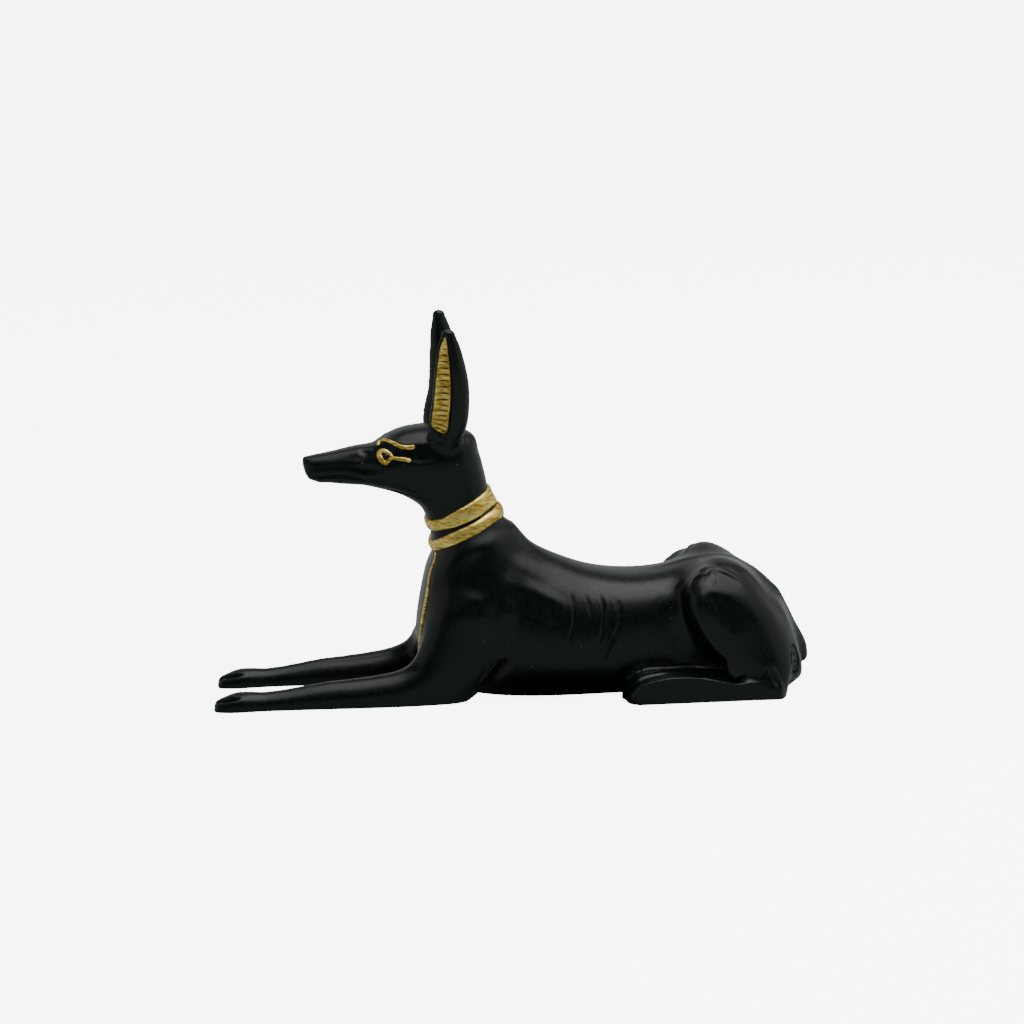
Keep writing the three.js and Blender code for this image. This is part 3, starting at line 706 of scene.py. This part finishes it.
# %% [markdown]
# ## The head
#
# The head has much finer forms than the body, so it is a mesh of its own with smaller squares. Its
# seam hides under the upper collar. An ear is a leaf with a shallow channel down its open side. The leaf's
# levels are ellipses, and the part of each ellipse that faces forwards and outwards is drawn in.

# %% Rows of an ear: height, middle, half lengths fore and aft and sideways
EAR = [
    (82.5, -21, 8, 3.6, 3),
    (88, -20.8, 9.8, 5.5, 4.2),
    (93, -20.5, 11, 6.25, 4.7),
    (98, -20.1, 12, 6.1, 4.6),
    (104, -20, 12.9, 5.75, 4.2),
    (110, -20.3, 13.6, 4.95, 3.6),
    (116, -20.8, 14.1, 3.8, 2.7),
    (120.6, -21.1, 14.4, 2.3, 1.7),
]
CHANNEL = (math.radians(92), math.radians(174))
CHANNEL_DEPTH = 1.5


def on_ear(place, angles, hand):
    """Points of one ear level; the far ear is a little higher, narrower and further back."""
    z, x, y, fore_aft, sideways = through(EAR, place)[0]
    if hand == FAR:
        rise = place / (len(EAR) - 1)
        flare = falls(rise, 0, 0.5)
        x, z, fore_aft = x + 1.3 - 0.8 * rise**3 - 2 * flare, z + 2.2 * rise, (0.92 + 0.1 * flare) * fore_aft
    angles = np.asarray(angles)
    height = np.full(len(angles), z)
    return np.column_stack([x + fore_aft * np.cos(angles), hand * (y + sideways * np.sin(angles)), height])


def channel_floor(place, shares, hand, lift=0.0):
    """Points across the channel of an ear, from its back rim to its front rim."""
    rims = on_ear(place, CHANNEL, hand)
    across = rims[1] - rims[0]
    wide = np.linalg.norm(across)
    inwards = np.array([-across[1], across[0], 0]) / wide
    if np.dot(inwards, rims.mean(axis=0) - on_ear(place, [0.0, math.pi], hand).mean(axis=0)) > 0:
        inwards = -inwards
    deep = min(CHANNEL_DEPTH, 0.28 * wide) * smoothstep(place, 0.5, 1.3)
    dent = deep * np.clip(1 - (2 * shares - 1) ** 2, 0, 1) ** 0.75 - lift
    return rims[0] + shares[:, None] * across + dent[:, None] * inwards


def ear_ring(place, hand, count=120):
    """One level of the leaf with its channel drawn in."""
    angles = np.arange(count) * 2 * math.pi / count
    ring = on_ear(place, angles, hand)
    inside = (angles > CHANNEL[0]) & (angles < CHANNEL[1])
    shares = (angles[inside] - CHANNEL[0]) / (CHANNEL[1] - CHANNEL[0])
    drawn_in = between(place, (0.4, 1.0), (6.7, 7.0))
    ring[inside] += (channel_floor(place, shares, hand) - ring[inside]) * drawn_in
    return ring


head_bm = bmesh.new()
hull(head_bm, TRUNK, caps=(0, 1.3), run=(COLLAR_SEAM, len(TRUNK) - 1), count=96, steps=8)
for hand in FLANKS:
    rings = [ear_ring(place, hand) for place in np.linspace(0, len(EAR) - 1, 71)]
    add_skin(head_bm, rounded(rings, (0.5, 1.8)))
head = Clay(fused(head_bm, "jackal_head", HEAD_SQUARE))
print("fused head:", len(head.points))

# %% Soften the ears' feet and settle the head
x, y, z = head.points.T
feet = between(z, (80, 83), (89, 93)) * smoothstep(x, -30, -27)
head.fill(np.maximum(feet, 0.3), 50, sharp=0.012)
head.fill(feet * smoothstep(x, -23, -20), 120, sharp=0.006)
head.even(0.5, 2)
head.settle()
print("ears' feet softened")

# %% [markdown]
# The muzzle has a mouth line, a nostril and two long facets that meet in a soft edge. The eye lies in a round
# socket, and the temple behind it is flat. Four small folds stand at the foot of each ear.

# %% Mouth and nose
MOUTH = [(-64.6, 73.8), (-61.8, 73.4), (-58.4, 73.5), (-54.8, 73.6), (-50.1, 72.9), (-46, 72)]
JAW = [(-40, 69.6), (-34.5, 67.8), (-29, 66.5), (-24, 64.6)]
NOSTRIL = [(-66.3, 77.8), (-65.6, 78.4)]
UNDER_NOSTRIL = [(-66.6, 76.6), (-65, 76.4), (-63.2, 76.4)]
for hand in FLANKS:
    head.stroke(MOUTH, hand, 0.62, 0.95, share=0.15)
    head.stroke(MOUTH, hand, 0.7, -0.4, shift=(0, 0, -0.9))
    head.stroke(JAW, hand, 0.7, 0.75)
    head.stroke(NOSTRIL, hand, 0.7, 0.45, share=0, spacing=0.1)
    head.stroke(UNDER_NOSTRIL, hand, 0.9, 0.4, share=0, spacing=0.1)
head.settle()
print("mouth and nose pressed")

# %% Eye socket, temple and the folds at the ears
BROW = [(-42.9, 83.5), (-42, 84.6), (-40.2, 85.3), (-38.2, 84.8), (-36, 83.9), (-33.6, 83.6), (-31.4, 83.8)]
EYE = np.array([-40.9, 80.5])
TEAR_HOLLOW = [(-47.8, 81.6), (-46.6, 81.4)]
EAR_FOLDS = [(-26.3, 86.6), (-24.6, 87.6), (-25.4, 84.9), (-23.3, 85.9)]
for hand in FLANKS:
    head.facet((-55, 79.1), hand, 24, -9, (11, 2.2), lean=9, depth=0.15)
    head.facet((-54, 76.1), hand, 9, -9, (14, 2.4), lean=1, depth=0.15)
    head.stroke([EYE, EYE + [0.2, 0]], hand, 4.2, 0.55, share=0, spacing=0.1)
    head.stroke(BROW, hand, 1.8, -0.45, shift=(0, 0, 1.2))
    head.stroke(TEAR_HOLLOW, hand, 1.5, 0.4, share=0, spacing=0.2)
head.settle()
for hand in FLANKS:
    head.facet((-30, 82), hand, 9, -4, (8.5, 4), lean=-4, depth=0.6)
    for spot in EAR_FOLDS:
        head.stroke([spot, *moved([spot], 0.4, 0.2)], hand, 1.3, -0.6, share=0, spacing=0.2)
head.even(0.4, 1)
head.settle()
for hand in FLANKS:
    head.stroke([EYE, EYE + [0.2, -0.1]], hand, 1.7, -0.6, share=0, spacing=0.1)
head.settle()
print("head modelled")

# %% [markdown]
# ## Raised gold lines
#
# On the casting each painted line stands a little proud, so the brush finds it. A ribbon is a flat tube
# laid along a draped line: its ring is a shallow dome above the skin, and its root sinks below it.

# %% Ribbons


def ribbon(bm, line, outward, half_width, height, closed=False, root=0.4):
    """A low rounded strip along a line on the skin."""
    if closed:
        ahead = np.roll(line, -1, axis=0) - np.roll(line, 1, axis=0)
    else:
        ahead = np.gradient(line, axis=0)
    across = np.cross(ahead, outward)
    across /= np.linalg.norm(across, axis=1)[:, None]
    turns = np.arange(14) * 2 * math.pi / 14
    c, s = np.cos(turns), np.sin(turns)
    wide = np.sign(c) * np.abs(c) ** 0.7
    tall = np.where(s > 0, height * np.abs(s) ** 0.8, root * s)
    rings = [
        point + np.outer(wide * half, side) + np.outer(tall, out)
        for point, side, out, half in zip(line, across, outward, half_width)
    ]
    add_skin(bm, rings, closed)


def blunt(line, thin, thick):
    """Half widths along a line that grow from thin to thick, with round ends."""
    half_width = np.linspace(thin, thick, len(line))
    run = np.r_[0, np.cumsum(np.linalg.norm(np.diff(line, axis=0), axis=1))]
    gap = np.minimum(run, run[-1] - run) + 0.06
    return half_width * np.sqrt(1 - np.clip(1 - gap / np.max(half_width), 0, 1) ** 2)


def eased_directions(outward, rounds=6):
    """Outward directions without the jumps from face to face."""
    for _ in range(rounds):
        outward = outward + np.roll(outward, 1, axis=0) + np.roll(outward, -1, axis=0)
        outward /= np.linalg.norm(outward, axis=1)[:, None]
    return outward


# %% [markdown]
# ## Two finishes
#
# Satin black paint and antique gold paint share how a brush leaves streaks and where ridges and valleys lie:
# the black's ridges wear, and the gold's valleys get painted shade. The black also shows dust. These effects
# are node groups, each with plain inputs and outputs.

# %% Helpers for nodes


def fill_inputs(node, inputs):
    """Gives each input its value, or a link from another node's output."""
    for name, value in inputs.items():
        if isinstance(value, bpy.types.NodeSocket):
            node.id_data.links.new(value, node.inputs[name])
        else:
            node.inputs[name].default_value = value


def add_node(tree, kind, inputs=None, **settings):
    """A shader node with its settings and its inputs."""
    node = tree.nodes.new("ShaderNode" + kind)
    for name, value in settings.items():
        setattr(node, name, value)
    fill_inputs(node, inputs or {})
    return node


def worked_out(tree, operation, *values):
    """What a Math node makes of numbers and other nodes' outputs."""
    return add_node(tree, "Math", dict(enumerate(values)), operation=operation).outputs[0]


def ranged(tree, value, low, high, to_low=0.0, to_high=1.0):
    """A value carried from one range to another."""
    limits = {"From Min": low, "From Max": high, "To Min": to_low, "To Max": to_high}
    return add_node(tree, "MapRange", {"Value": value, **limits}).outputs["Result"]


def mixed(tree, share, first, second, kind="RGBA"):
    """A colour or value between two others."""
    return add_node(tree, "Mix", {"Factor": share, "A": first, "B": second}, data_type=kind).outputs["Result"]


def new_group(name, inputs, outputs):
    """An empty node group with named inputs of these values; None makes a vector input."""
    group = bpy.data.node_groups.new(name, "ShaderNodeTree")
    for label, value in inputs.items():
        kind = "NodeSocketVector" if value is None else "NodeSocketFloat"
        socket = group.interface.new_socket(name=label, in_out="INPUT", socket_type=kind)
        if value is not None:
            socket.default_value = value
    for label in outputs:
        group.interface.new_socket(name=label, in_out="OUTPUT", socket_type="NodeSocketFloat")
    return group, group.nodes.new("NodeGroupInput").outputs, group.nodes.new("NodeGroupOutput")


# %% [markdown]
# Brush streaks are noise that is stretched along the stroke. Two sizes are mixed, because a brush has both
# clumps and single hairs.

# %% Group: brush streaks
wanted = {"Vector": None, "Scale": 300.0, "Fineness": 4.0}
streaks, given, end = new_group("brush streaks", wanted, ["Streaks"])
hairs = worked_out(streaks, "MULTIPLY", given["Scale"], given["Fineness"])
noises = []
for scale, detail, roughness in ((given["Scale"], 3.0, 0.55), (hairs, 2.0, 0.6)):
    grain = {"Vector": given["Vector"], "Scale": scale, "Detail": detail, "Roughness": roughness}
    noises.append(add_node(streaks, "TexNoise", grain).outputs["Fac"])
fill_inputs(end, {"Streaks": mixed(streaks, 0.45, *noises, kind="FLOAT")})
print("group:", streaks.name)

# %% [markdown]
# Worn edges come from pointiness, which is above a half on ridges and below it in valleys. The ridges mark
# real wear on the black; the valleys mark where the gold gets painted shade.

# %% Group: worn edges, and valleys for painted shade
wear_and_shade, given, end = new_group("edge wear and valley shade", {"Reach": 0.03}, ["Edge", "Valley"])
pointed = add_node(wear_and_shade, "NewGeometry").outputs["Pointiness"]
above = worked_out(wear_and_shade, "ADD", given["Reach"], 0.5)
below = worked_out(wear_and_shade, "SUBTRACT", 0.5, given["Reach"])
edge, valley = ranged(wear_and_shade, pointed, 0.505, above), ranged(wear_and_shade, pointed, below, 0.495, 1.0, 0.0)
fill_inputs(end, {"Edge": edge, "Valley": valley})
print("group:", wear_and_shade.name)

# %% [markdown]
# Dust shows as a few single pale specks and scuffs as short dashes. Both come from cells of which only some
# are kept, and a dash is a speck in stretched space.

# %% Group: dust and scuffs
wanted = {"Vector": None, "Scale": 260.0, "Size": 0.05}
dust, given, end = new_group("dust and scuffs", wanted, ["Specks", "Scuffs"])
stretch = {"Vector": given["Vector"], "Rotation": (0.0, 0.35, 0.0), "Scale": (0.16, 1.0, 1.0)}
stretched = add_node(dust, "Mapping", stretch).outputs["Vector"]
for label, vector, left_out in (("Specks", given["Vector"], 0.7), ("Scuffs", stretched, 0.93)):
    cells = add_node(dust, "TexVoronoi", {"Vector": vector, "Scale": given["Scale"]}).outputs
    dot = worked_out(dust, "LESS_THAN", cells["Distance"], given["Size"])
    tint = add_node(dust, "SeparateColor", {"Color": cells["Color"]})
    kept = worked_out(dust, "GREATER_THAN", tint.outputs["Red"], left_out)
    fill_inputs(end, {label: worked_out(dust, "MULTIPLY", dot, kept)})
print("group:", dust.name)

# %% [markdown]
# Both paints are brushed on: the streaks make the gloss a little uneven and stand up a few hundredths of a
# millimetre.

# %% A brushed finish


def use_group(tree, group, **inputs):
    """The outputs of a group placed in a material with its own values."""
    return add_node(tree, "Group", inputs, node_tree=group).outputs


def material(name):
    """A material with a plain Principled shader, its tree and the object's own coordinates."""
    made = bpy.data.materials.new(name)
    made.use_nodes = True
    tree = made.node_tree
    tree.nodes.clear()
    shader = add_node(tree, "BsdfPrincipled")
    add_node(tree, "OutputMaterial", {"Surface": shader.outputs["BSDF"]})
    return made, tree, shader, add_node(tree, "TexCoord").outputs["Object"]


def brushed(tree, shader, spots, stroke, scale, fineness, roughness, bump):
    """Streaks that vary the gloss and stand up from the paint; a short stroke scale gives a long stroke."""
    along = add_node(tree, "Mapping", {"Vector": spots, "Scale": stroke}).outputs["Vector"]
    streak = use_group(tree, streaks, Vector=along, Scale=scale, Fineness=fineness)["Streaks"]
    relief = add_node(tree, "Bump", {"Height": streak, "Strength": bump[0], "Distance": bump[1]})
    gloss = ranged(tree, streak, 0.3, 0.7, *roughness)
    fill_inputs(shader, {"Roughness": gloss, "Normal": relief.outputs["Normal"]})
    return streak


# %% [markdown]
# The black is nearly neutral with a breath of blue-green and a satin gloss.

# %% Material: satin black
DEEP, LESS_DEEP = (0.0001, 0.0022, 0.0017, 1), (0.0007, 0.0042, 0.0034, 1)
WORN_BLACK, DUST_GREY = (0.009, 0.014, 0.013, 1), (0.10, 0.11, 0.105, 1)
black, tree, shader, spots = material("satin black paint")
streak = brushed(tree, shader, spots, (1.0, 1.0, 0.14), 900.0, 3.0, (0.24, 0.4), (0.35, 0.00006))
edge_share = worked_out(tree, "MULTIPLY", use_group(tree, wear_and_shade, Reach=0.05)["Edge"], 0.5)
specks = use_group(tree, dust, Vector=spots, Scale=260.0, Size=0.055)
dust_share = worked_out(tree, "MULTIPLY_ADD", specks["Scuffs"], 0.5, specks["Specks"])
paint = mixed(tree, edge_share, mixed(tree, streak, DEEP, LESS_DEEP), WORN_BLACK)
fill_inputs(shader, {"Base Color": mixed(tree, dust_share, paint, DUST_GREY), "Specular IOR Level": 0.27})
print("material:", black.name)

# %% [markdown]
# The gold is a metallic paint: bright where the brush left it thick. In the valleys and in the rungs of the
# ear linings it turns dark bronze, which is painted shade, and partly the black showing through thin paint
# there.

# %% Material: antique gold
THIN_GOLD, THICK_GOLD, SHADE_BRONZE = (0.4, 0.25, 0.02, 1), (1.0, 0.77, 0.23, 1), (0.07, 0.035, 0.005, 1)
gold, tree, shader, spots = material("antique gold paint")
streak = brushed(tree, shader, spots, (0.25, 0.25, 1.0), 420.0, 4.0, (0.48, 0.34), (0.25, 0.0001))
# Painted shade: the valleys and the rungs' recesses turn dark bronze.
recess = add_node(tree, "Attribute", attribute_name="recess").outputs["Fac"]
hollow_shade_share = worked_out(tree, "MAXIMUM", use_group(tree, wear_and_shade, Reach=0.06)["Valley"], recess)
paint = mixed(tree, ranged(tree, streak, 0.4, 0.6), THIN_GOLD, THICK_GOLD)
fill_inputs(shader, {"Base Color": mixed(tree, hollow_shade_share, paint, SHADE_BRONZE), "Metallic": 0.88})
print("material:", gold.name)

# %% [markdown]
# ## Finished pieces
#
# Every piece ends the same way: its faces are turned to agree, its mesh goes into the frame's metres, it gets
# its finish, it rides on the single body of the figure, and the CAD figure it stands in for is hidden.
# Blender's search for the outside goes wrong on one thin shell, the near ear's lining, whose faces end up
# inwards.

# %% Finish a piece
PAINTS = {"black_resin": black, "gold_paint": gold}
WELD = 0.0005


def finished(bm, name, paint):
    """An object in the frame from a bmesh in drawing millimetres."""
    bmesh.ops.remove_doubles(bm, verts=bm.verts, dist=WELD)
    bmesh.ops.recalc_face_normals(bm, faces=bm.faces)
    bmesh.ops.translate(bm, verts=bm.verts, vec=(SHIFT, 0, 0))
    bmesh.ops.scale(bm, verts=bm.verts, vec=(MM, MM, MM))
    mesh = bpy.data.meshes.new(name)
    bm.to_mesh(mesh)
    bm.free()
    mesh.shade_smooth()
    mesh.materials.append(PAINTS[paint])
    obj = bpy.data.objects.new(name, mesh)
    bpy.context.scene.collection.objects.link(obj)
    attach(obj, "root")
    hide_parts("jackal_figure")
    print(name, "has", sum(len(face.vertices) - 2 for face in mesh.polygons), "triangles")


# %% [markdown]
# The underside of the body is cut flat on the ground, as the casting's is ground flat to stand, and the cut
# is closed.

# %% Cut and finish the body and the head
bm = bmesh.new()
bm.from_mesh(body.mesh)
bmesh.ops.bisect_plane(
    bm, geom=[*bm.verts, *bm.edges, *bm.faces], plane_co=(0, 0, 0), plane_no=(0, 0, 1), clear_inner=True
)
bmesh.ops.holes_fill(bm, edges=[edge for edge in bm.edges if edge.is_boundary], sides=0)
finished(bm, "jackal_body", "black_resin")
bm = bmesh.new()
bm.from_mesh(head.mesh)
finished(bm, "jackal_head", "black_resin")

# %% [markdown]
# ## Collars
#
# Each collar is a flat band round the neck with soft corners. It follows the trunk's own frames, so it fits
# the neck all round, and its edges wander a little, as hand-painted edges do. An edge is given by its
# place in the trunk's rows at some degrees from the throat.

# %% Two collars
UPPER_TOP = [(17, 18.1), (56, 18.05), (85, 18.25), (112, 18.33), (180, 18.4)]
UPPER_FOOT = [(19, 17.15), (47, 17.22), (75, 17.17), (99, 17.24), (125, 17.38), (180, 17.4)]
LOWER_TOP = [(9, 16.17), (56, 16.7), (93, 16.92), (122, 17.15), (149, 17.24), (180, 17.28)]
LOWER_FOOT = [(16, 15.26), (48, 15.39), (89, 15.5), (127, 15.57), (170, 15.36), (180, 15.3)]
HALF_SECTION = [(0.0, -0.6), (0.0, 0.45), (0.04, 0.75), (0.12, 0.92), (0.3, 1.02)]
COLLAR_STEPS = 240
SECTION = [*HALF_SECTION, (0.5, 1.05), *((1 - share, proud) for share, proud in reversed(HALF_SECTION))]


def wander(turns, seed, size):
    """A slow wobble round a closed ring."""
    rng = np.random.default_rng(seed)
    total = np.zeros(len(turns))
    for wave in (2, 3, 5, 8, 13, 21):
        total += rng.normal() * np.cos(wave * turns + rng.uniform(0, 6.3)) / wave**0.6
    return size * total


def edge_places(edge, turns, seed):
    """Places of a collar's edge all round, eased and a bit ragged."""
    from_throat = np.abs(np.degrees(turns) - 270)
    from_throat = np.minimum(from_throat, 360 - from_throat)
    places = np.interp(from_throat, *np.array(edge).T)
    for _ in range(12):
        places = (np.roll(places, 1) + places + np.roll(places, -1)) / 3
    return places + wander(turns, seed, 0.012)


def collar(name, top, foot, seed):
    """A band round the neck between two edges."""
    turns = np.arange(COLLAR_STEPS) * 2 * math.pi / COLLAR_STEPS
    high, low = edge_places(top, turns, seed), edge_places(foot, turns, seed + 1)
    rings = [on_hull(TRUNK, low + (high - low) * share, turns, FAR, proud) for share, proud in SECTION]
    bm = bmesh.new()
    add_skin(bm, rings, closed=True)
    finished(bm, name, "gold_paint")


collar("lower_collar", LOWER_TOP, LOWER_FOOT, 3)
collar("upper_collar", UPPER_TOP, UPPER_FOOT, 5)

# %% [markdown]
# ## Eyes, brows and ears
#
# The eye is a ring shaped like a drop, with a tail towards the ear, and the brow is a wavy stroke above it.

# %% Eyes and brows
EYE_DROP = [(0.1, -1.9), (-1.1, -1.1), (-1.8, 0.3), (-1.5, 1.4), (-0.2, 1.8), (1.3, 1.1), (2.1, 0), (1.2, -1)]
EYE_TAIL = [(-38.7, 80.4), (-37.2, 80.1), (-35, 79.9), (-32.8, 79.4)]
EYE_STEPS = 72
FAR_BROW_DOWN = 1.2
SIDES = {NEAR: "near", FAR: "far"}
for hand, side in SIDES.items():
    bm = bmesh.new()
    corners = [tuple(EYE + spot) for spot in EYE_DROP]
    places = np.linspace(1, len(corners) + 1, EYE_STEPS + 1)[:-1]
    round_eye = through([*corners, *corners[:3]], places)
    hits = [head.tree.ray_cast(Vector((a, hand * 60, b)), Vector((0, -hand, 0))) for a, b in round_eye]
    line = np.array([hit[0] for hit in hits])
    outward = eased_directions(np.array([hit[1] for hit in hits]))
    eye_width = 0.72 + 0.16 * np.cos(np.linspace(0, 2 * math.pi, EYE_STEPS) - 0.6)
    ribbon(bm, line, outward, eye_width, 0.42, closed=True)
    line, outward = head.drape(EYE_TAIL, hand)
    ribbon(bm, line, outward, blunt(line, 0.55, 0.72), 0.4)
    finished(bm, side + "_eye_line", "gold_paint")
    bm = bmesh.new()
    line, outward = head.drape(moved(BROW, 0, -FAR_BROW_DOWN * (hand == FAR)), hand)
    ribbon(bm, line, outward, blunt(line, 0.5, 0.75), 0.45)
    finished(bm, side + "_brow", "gold_paint")

# %% [markdown]
# The ear's lining covers the channel and is crossed by small recesses like rungs. It starts as a flat grid:
# each row of the grid is laid across the channel at one level, and the rungs sink to the channel's floor.
# How deep a point sinks is kept as an attribute, which the gold reads to paint shade into the rungs.

# %% Ear linings
RUNGS = 17
COLUMNS, LEVELS = 30, 320
LINING_FOOT, LINING_TIP = 1.1, 6.85
LINING_LIFT, LINING_WALL = 0.3, 0.35


def lining_half(rise):
    """Half the lining's width as a share of the channel's: round at the foot and pointed at the tip."""
    pointed = math.sqrt(max(0.0, 1 - max(0.0, rise * 1.12 - 0.12) ** 6)) * 0.45 + 0.004
    return pointed * math.sqrt(1 - (1 - min(1.0, rise / 0.1 + 0.02)) ** 2)


def ear_lining(name, hand):
    """A thin patch in the channel of an ear, with a row of recesses across it."""
    bm = bmesh.new()
    bmesh.ops.create_grid(bm, x_segments=COLUMNS, y_segments=LEVELS, size=0.5)
    recess = bm.verts.layers.float.new("recess")
    spots = sorted(bm.verts, key=lambda vert: round(vert.co.y, 5))
    for start in range(0, len(spots), COLUMNS + 1):
        level = spots[start : start + COLUMNS + 1]
        rise = level[0].co.y + 0.5
        place = LINING_FOOT + (LINING_TIP - LINING_FOOT) * rise
        across = np.array([vert.co.x for vert in level])
        shares = 0.5 + 0.1 * float(falls(rise, 0, 0.12)) + across * 2 * lining_half(rise)
        rung = 0.5 - 0.5 * math.cos(2 * math.pi * RUNGS * rise)
        middle = np.clip(1 - (np.abs(across - 0.02) / 0.41) ** 6, 0, 1)
        deep = rung**2 * middle * falls(rise, 0.9, 0.98)
        points = channel_floor(place, shares, hand, lift=LINING_LIFT)
        down = channel_floor(place, shares, hand)
        slant = 3.0 * falls(rise, 0, 0.2) * (shares - 0.5)
        points[:, 2] += slant
        down[:, 2] += slant
        for vert, point, floor, depth in zip(level, points, down, deep):
            vert.co = point + (floor - point) * depth * 1.3
            # The share of painted shade that the gold puts into this rung's recess.
            vert[recess] = 0.95 * float(smoothstep(depth, 0.2, 0.65))
    bmesh.ops.recalc_face_normals(bm, faces=bm.faces)
    bmesh.ops.solidify(bm, geom=bm.faces, thickness=LINING_WALL)
    finished(bm, name, "gold_paint")


for hand, side in SIDES.items():
    ear_lining(side + "_ear_lining", hand)

# %% [markdown]
# ## The sash
#
# A sash hangs from the lower collar down the front of the chest. Only its hem is gold: a line down each
# side that widens towards the end, given as seen from the front.

# %% Hem of the sash
HEMS = {
    NEAR: [(5, 48), (6.4, 42.7), (7.6, 36), (7.8, 30), (7.6, 23), (7.5, 17), (7.3, 11.6)],
    FAR: [(9.5, 48), (11.6, 42.7), (13.4, 36), (14.6, 30), (15.4, 23), (15.8, 18.5), (16, 15)],
}
bm = bmesh.new()
for hand, hem in HEMS.items():
    line, outward = body.drape(hem, hand, look="front")
    ribbon(bm, line, eased_directions(outward), blunt(line, 0.42, 1.15), 0.45)
finished(bm, "sash_hem", "gold_paint")

# %% [markdown]
# ## Studio
#
# The photograph was taken on white, under wide soft light from above, with the room dark behind the
# camera. On satin black that light draws a bright band along every upward-facing form, and the white floor
# lifts the forms that face down. The floor runs up into a wall through a quarter circle.

# %% Floor and backdrop
BEND = 0.8
BACK = 2.0
WALL = 2.0
bm = bmesh.new()
bmesh.ops.create_grid(bm, x_segments=1, y_segments=1, size=BACK)
back_edge = [edge for edge in bm.edges if all(vert.co.y > BACK - 0.1 for vert in edge.verts)]
bend = {"cent": (0, BACK, BEND), "axis": (1, 0, 0), "angle": math.radians(90), "steps": 8, "use_merge": False}
bent = bmesh.ops.spin(bm, geom=back_edge, **bend)["geom_last"]
upper_edge = [item for item in bent if isinstance(item, bmesh.types.BMEdge)]
made = bmesh.ops.extrude_edge_only(bm, edges=upper_edge)["geom"]
top_corners = [item for item in made if isinstance(item, bmesh.types.BMVert)]
bmesh.ops.translate(bm, verts=top_corners, vec=(0, 0, WALL))
sweep = bpy.data.meshes.new("studio_sweep")
bm.to_mesh(sweep)
bm.free()
sweep.shade_smooth()
print("backdrop faces:", len(sweep.polygons))

# %% [markdown]
# The camera sees the paper pure white and softly glowing. The figure's reflections see it darker, with a
# shaded oval beside the belly, as the real figure shades its own table, and with a faint glow at the back.

# %% Paper
WHITE = (1.0, 1.0, 1.0, 1)
SHADED, PLAIN = (0.01, 0.01, 0.01, 1), (0.38, 0.43, 0.415, 1)
paper, tree, shader, spots = material("white paper")
seen = add_node(tree, "LightPath").outputs["Is Camera Ray"]
shade = add_node(tree, "Mapping", {"Vector": spots, "Location": (-0.42, 1.2, 0.0), "Scale": (28.0, 60.0, 1)})
from_shade = add_node(tree, "VectorMath", {0: shade.outputs["Vector"]}, operation="LENGTH").outputs["Value"]
reflected = mixed(tree, ranged(tree, from_shade, 0.55, 1.1), SHADED, PLAIN)
to_back = add_node(tree, "SeparateXYZ", {"Vector": spots}).outputs["Y"]
glow = mixed(tree, seen, ranged(tree, to_back, 0.04, 0.7, 0.0, 0.08), WHITE)
fill_inputs(shader, {"Base Color": mixed(tree, seen, reflected, WHITE), "Emission Color": glow})
fill_inputs(shader, {"Emission Strength": 6.5, "Roughness": 1.0, "Specular IOR Level": 0.0})
sweep.materials.append(paper)
floor = bpy.data.objects.new("studio_sweep", sweep)
bpy.context.scene.collection.objects.link(floor)
print("material:", paper.name)

# %% Lights


def soft_light(name, place, target, width, depth, power):
    """A rectangular light aimed at a point."""
    light = bpy.data.lights.new(name, "AREA")
    light.shape = "RECTANGLE"
    light.size, light.size_y, light.energy = width, depth, power
    obj = bpy.data.objects.new(name, light)
    bpy.context.scene.collection.objects.link(obj)
    obj.location = place
    obj.rotation_euler = (Vector(target) - Vector(place)).to_track_quat("-Z", "Y").to_euler()


soft_light("overhead front", (0.35, -0.35, 1.0), (0.35, -0.3501, 0), 1.5, 1.2, 16.5)
soft_light("overhead middle", (0.2, -0.35, 0.98), (0.2, -0.3501, 0), 0.5, 1.0, 3.3)
soft_light("overhead back", (0.3, 1.0, 1.0), (0.3, 0.9999, 0), 1.6, 1.4, 2)
soft_light("tail side", (1.25, 0.0, 0.5), (0, 0, 0.35), 2.2, 1.0, 5)
soft_light("nose side", (-1.25, 0.0, 0.5), (0, 0, 0.35), 2.2, 1.0, 4.4)
soft_light("camera side", (0.0, -1.5, 1.1), (0, 0, 0.1), 2.4, 0.7, 1.0)
world = bpy.data.worlds.new("room")
world.use_nodes = True
fill_inputs(world.node_tree.nodes["Background"], {"Color": (0.8, 1.0, 0.97, 1), "Strength": 0.01})
bpy.context.scene.world = world
print("lights:", len(bpy.data.lights))

# %% [markdown]
# ## Camera
#
# The photograph looks from slightly in front of the near flank and slightly above, from about 0.9 m.

# %% Camera
AZIMUTH, ELEVATION, DISTANCE = math.radians(-8.5), math.radians(12.5), 0.9
TARGET = Vector((-0.0007, 0, 0.0592))
level = math.cos(ELEVATION)
away = Vector((math.sin(AZIMUTH) * level, -math.cos(AZIMUTH) * level, math.sin(ELEVATION)))
camera_data = bpy.data.cameras.new("camera")
camera_data.lens = 96.5
camera_data.sensor_width = 36
camera = bpy.data.objects.new("camera", camera_data)
camera.location = TARGET + away * DISTANCE
camera.rotation_euler = (-away).to_track_quat("-Z", "Y").to_euler()
bpy.context.scene.collection.objects.link(camera)
bpy.context.scene.camera = camera
print("camera at, m:", [round(v, 3) for v in camera.location])
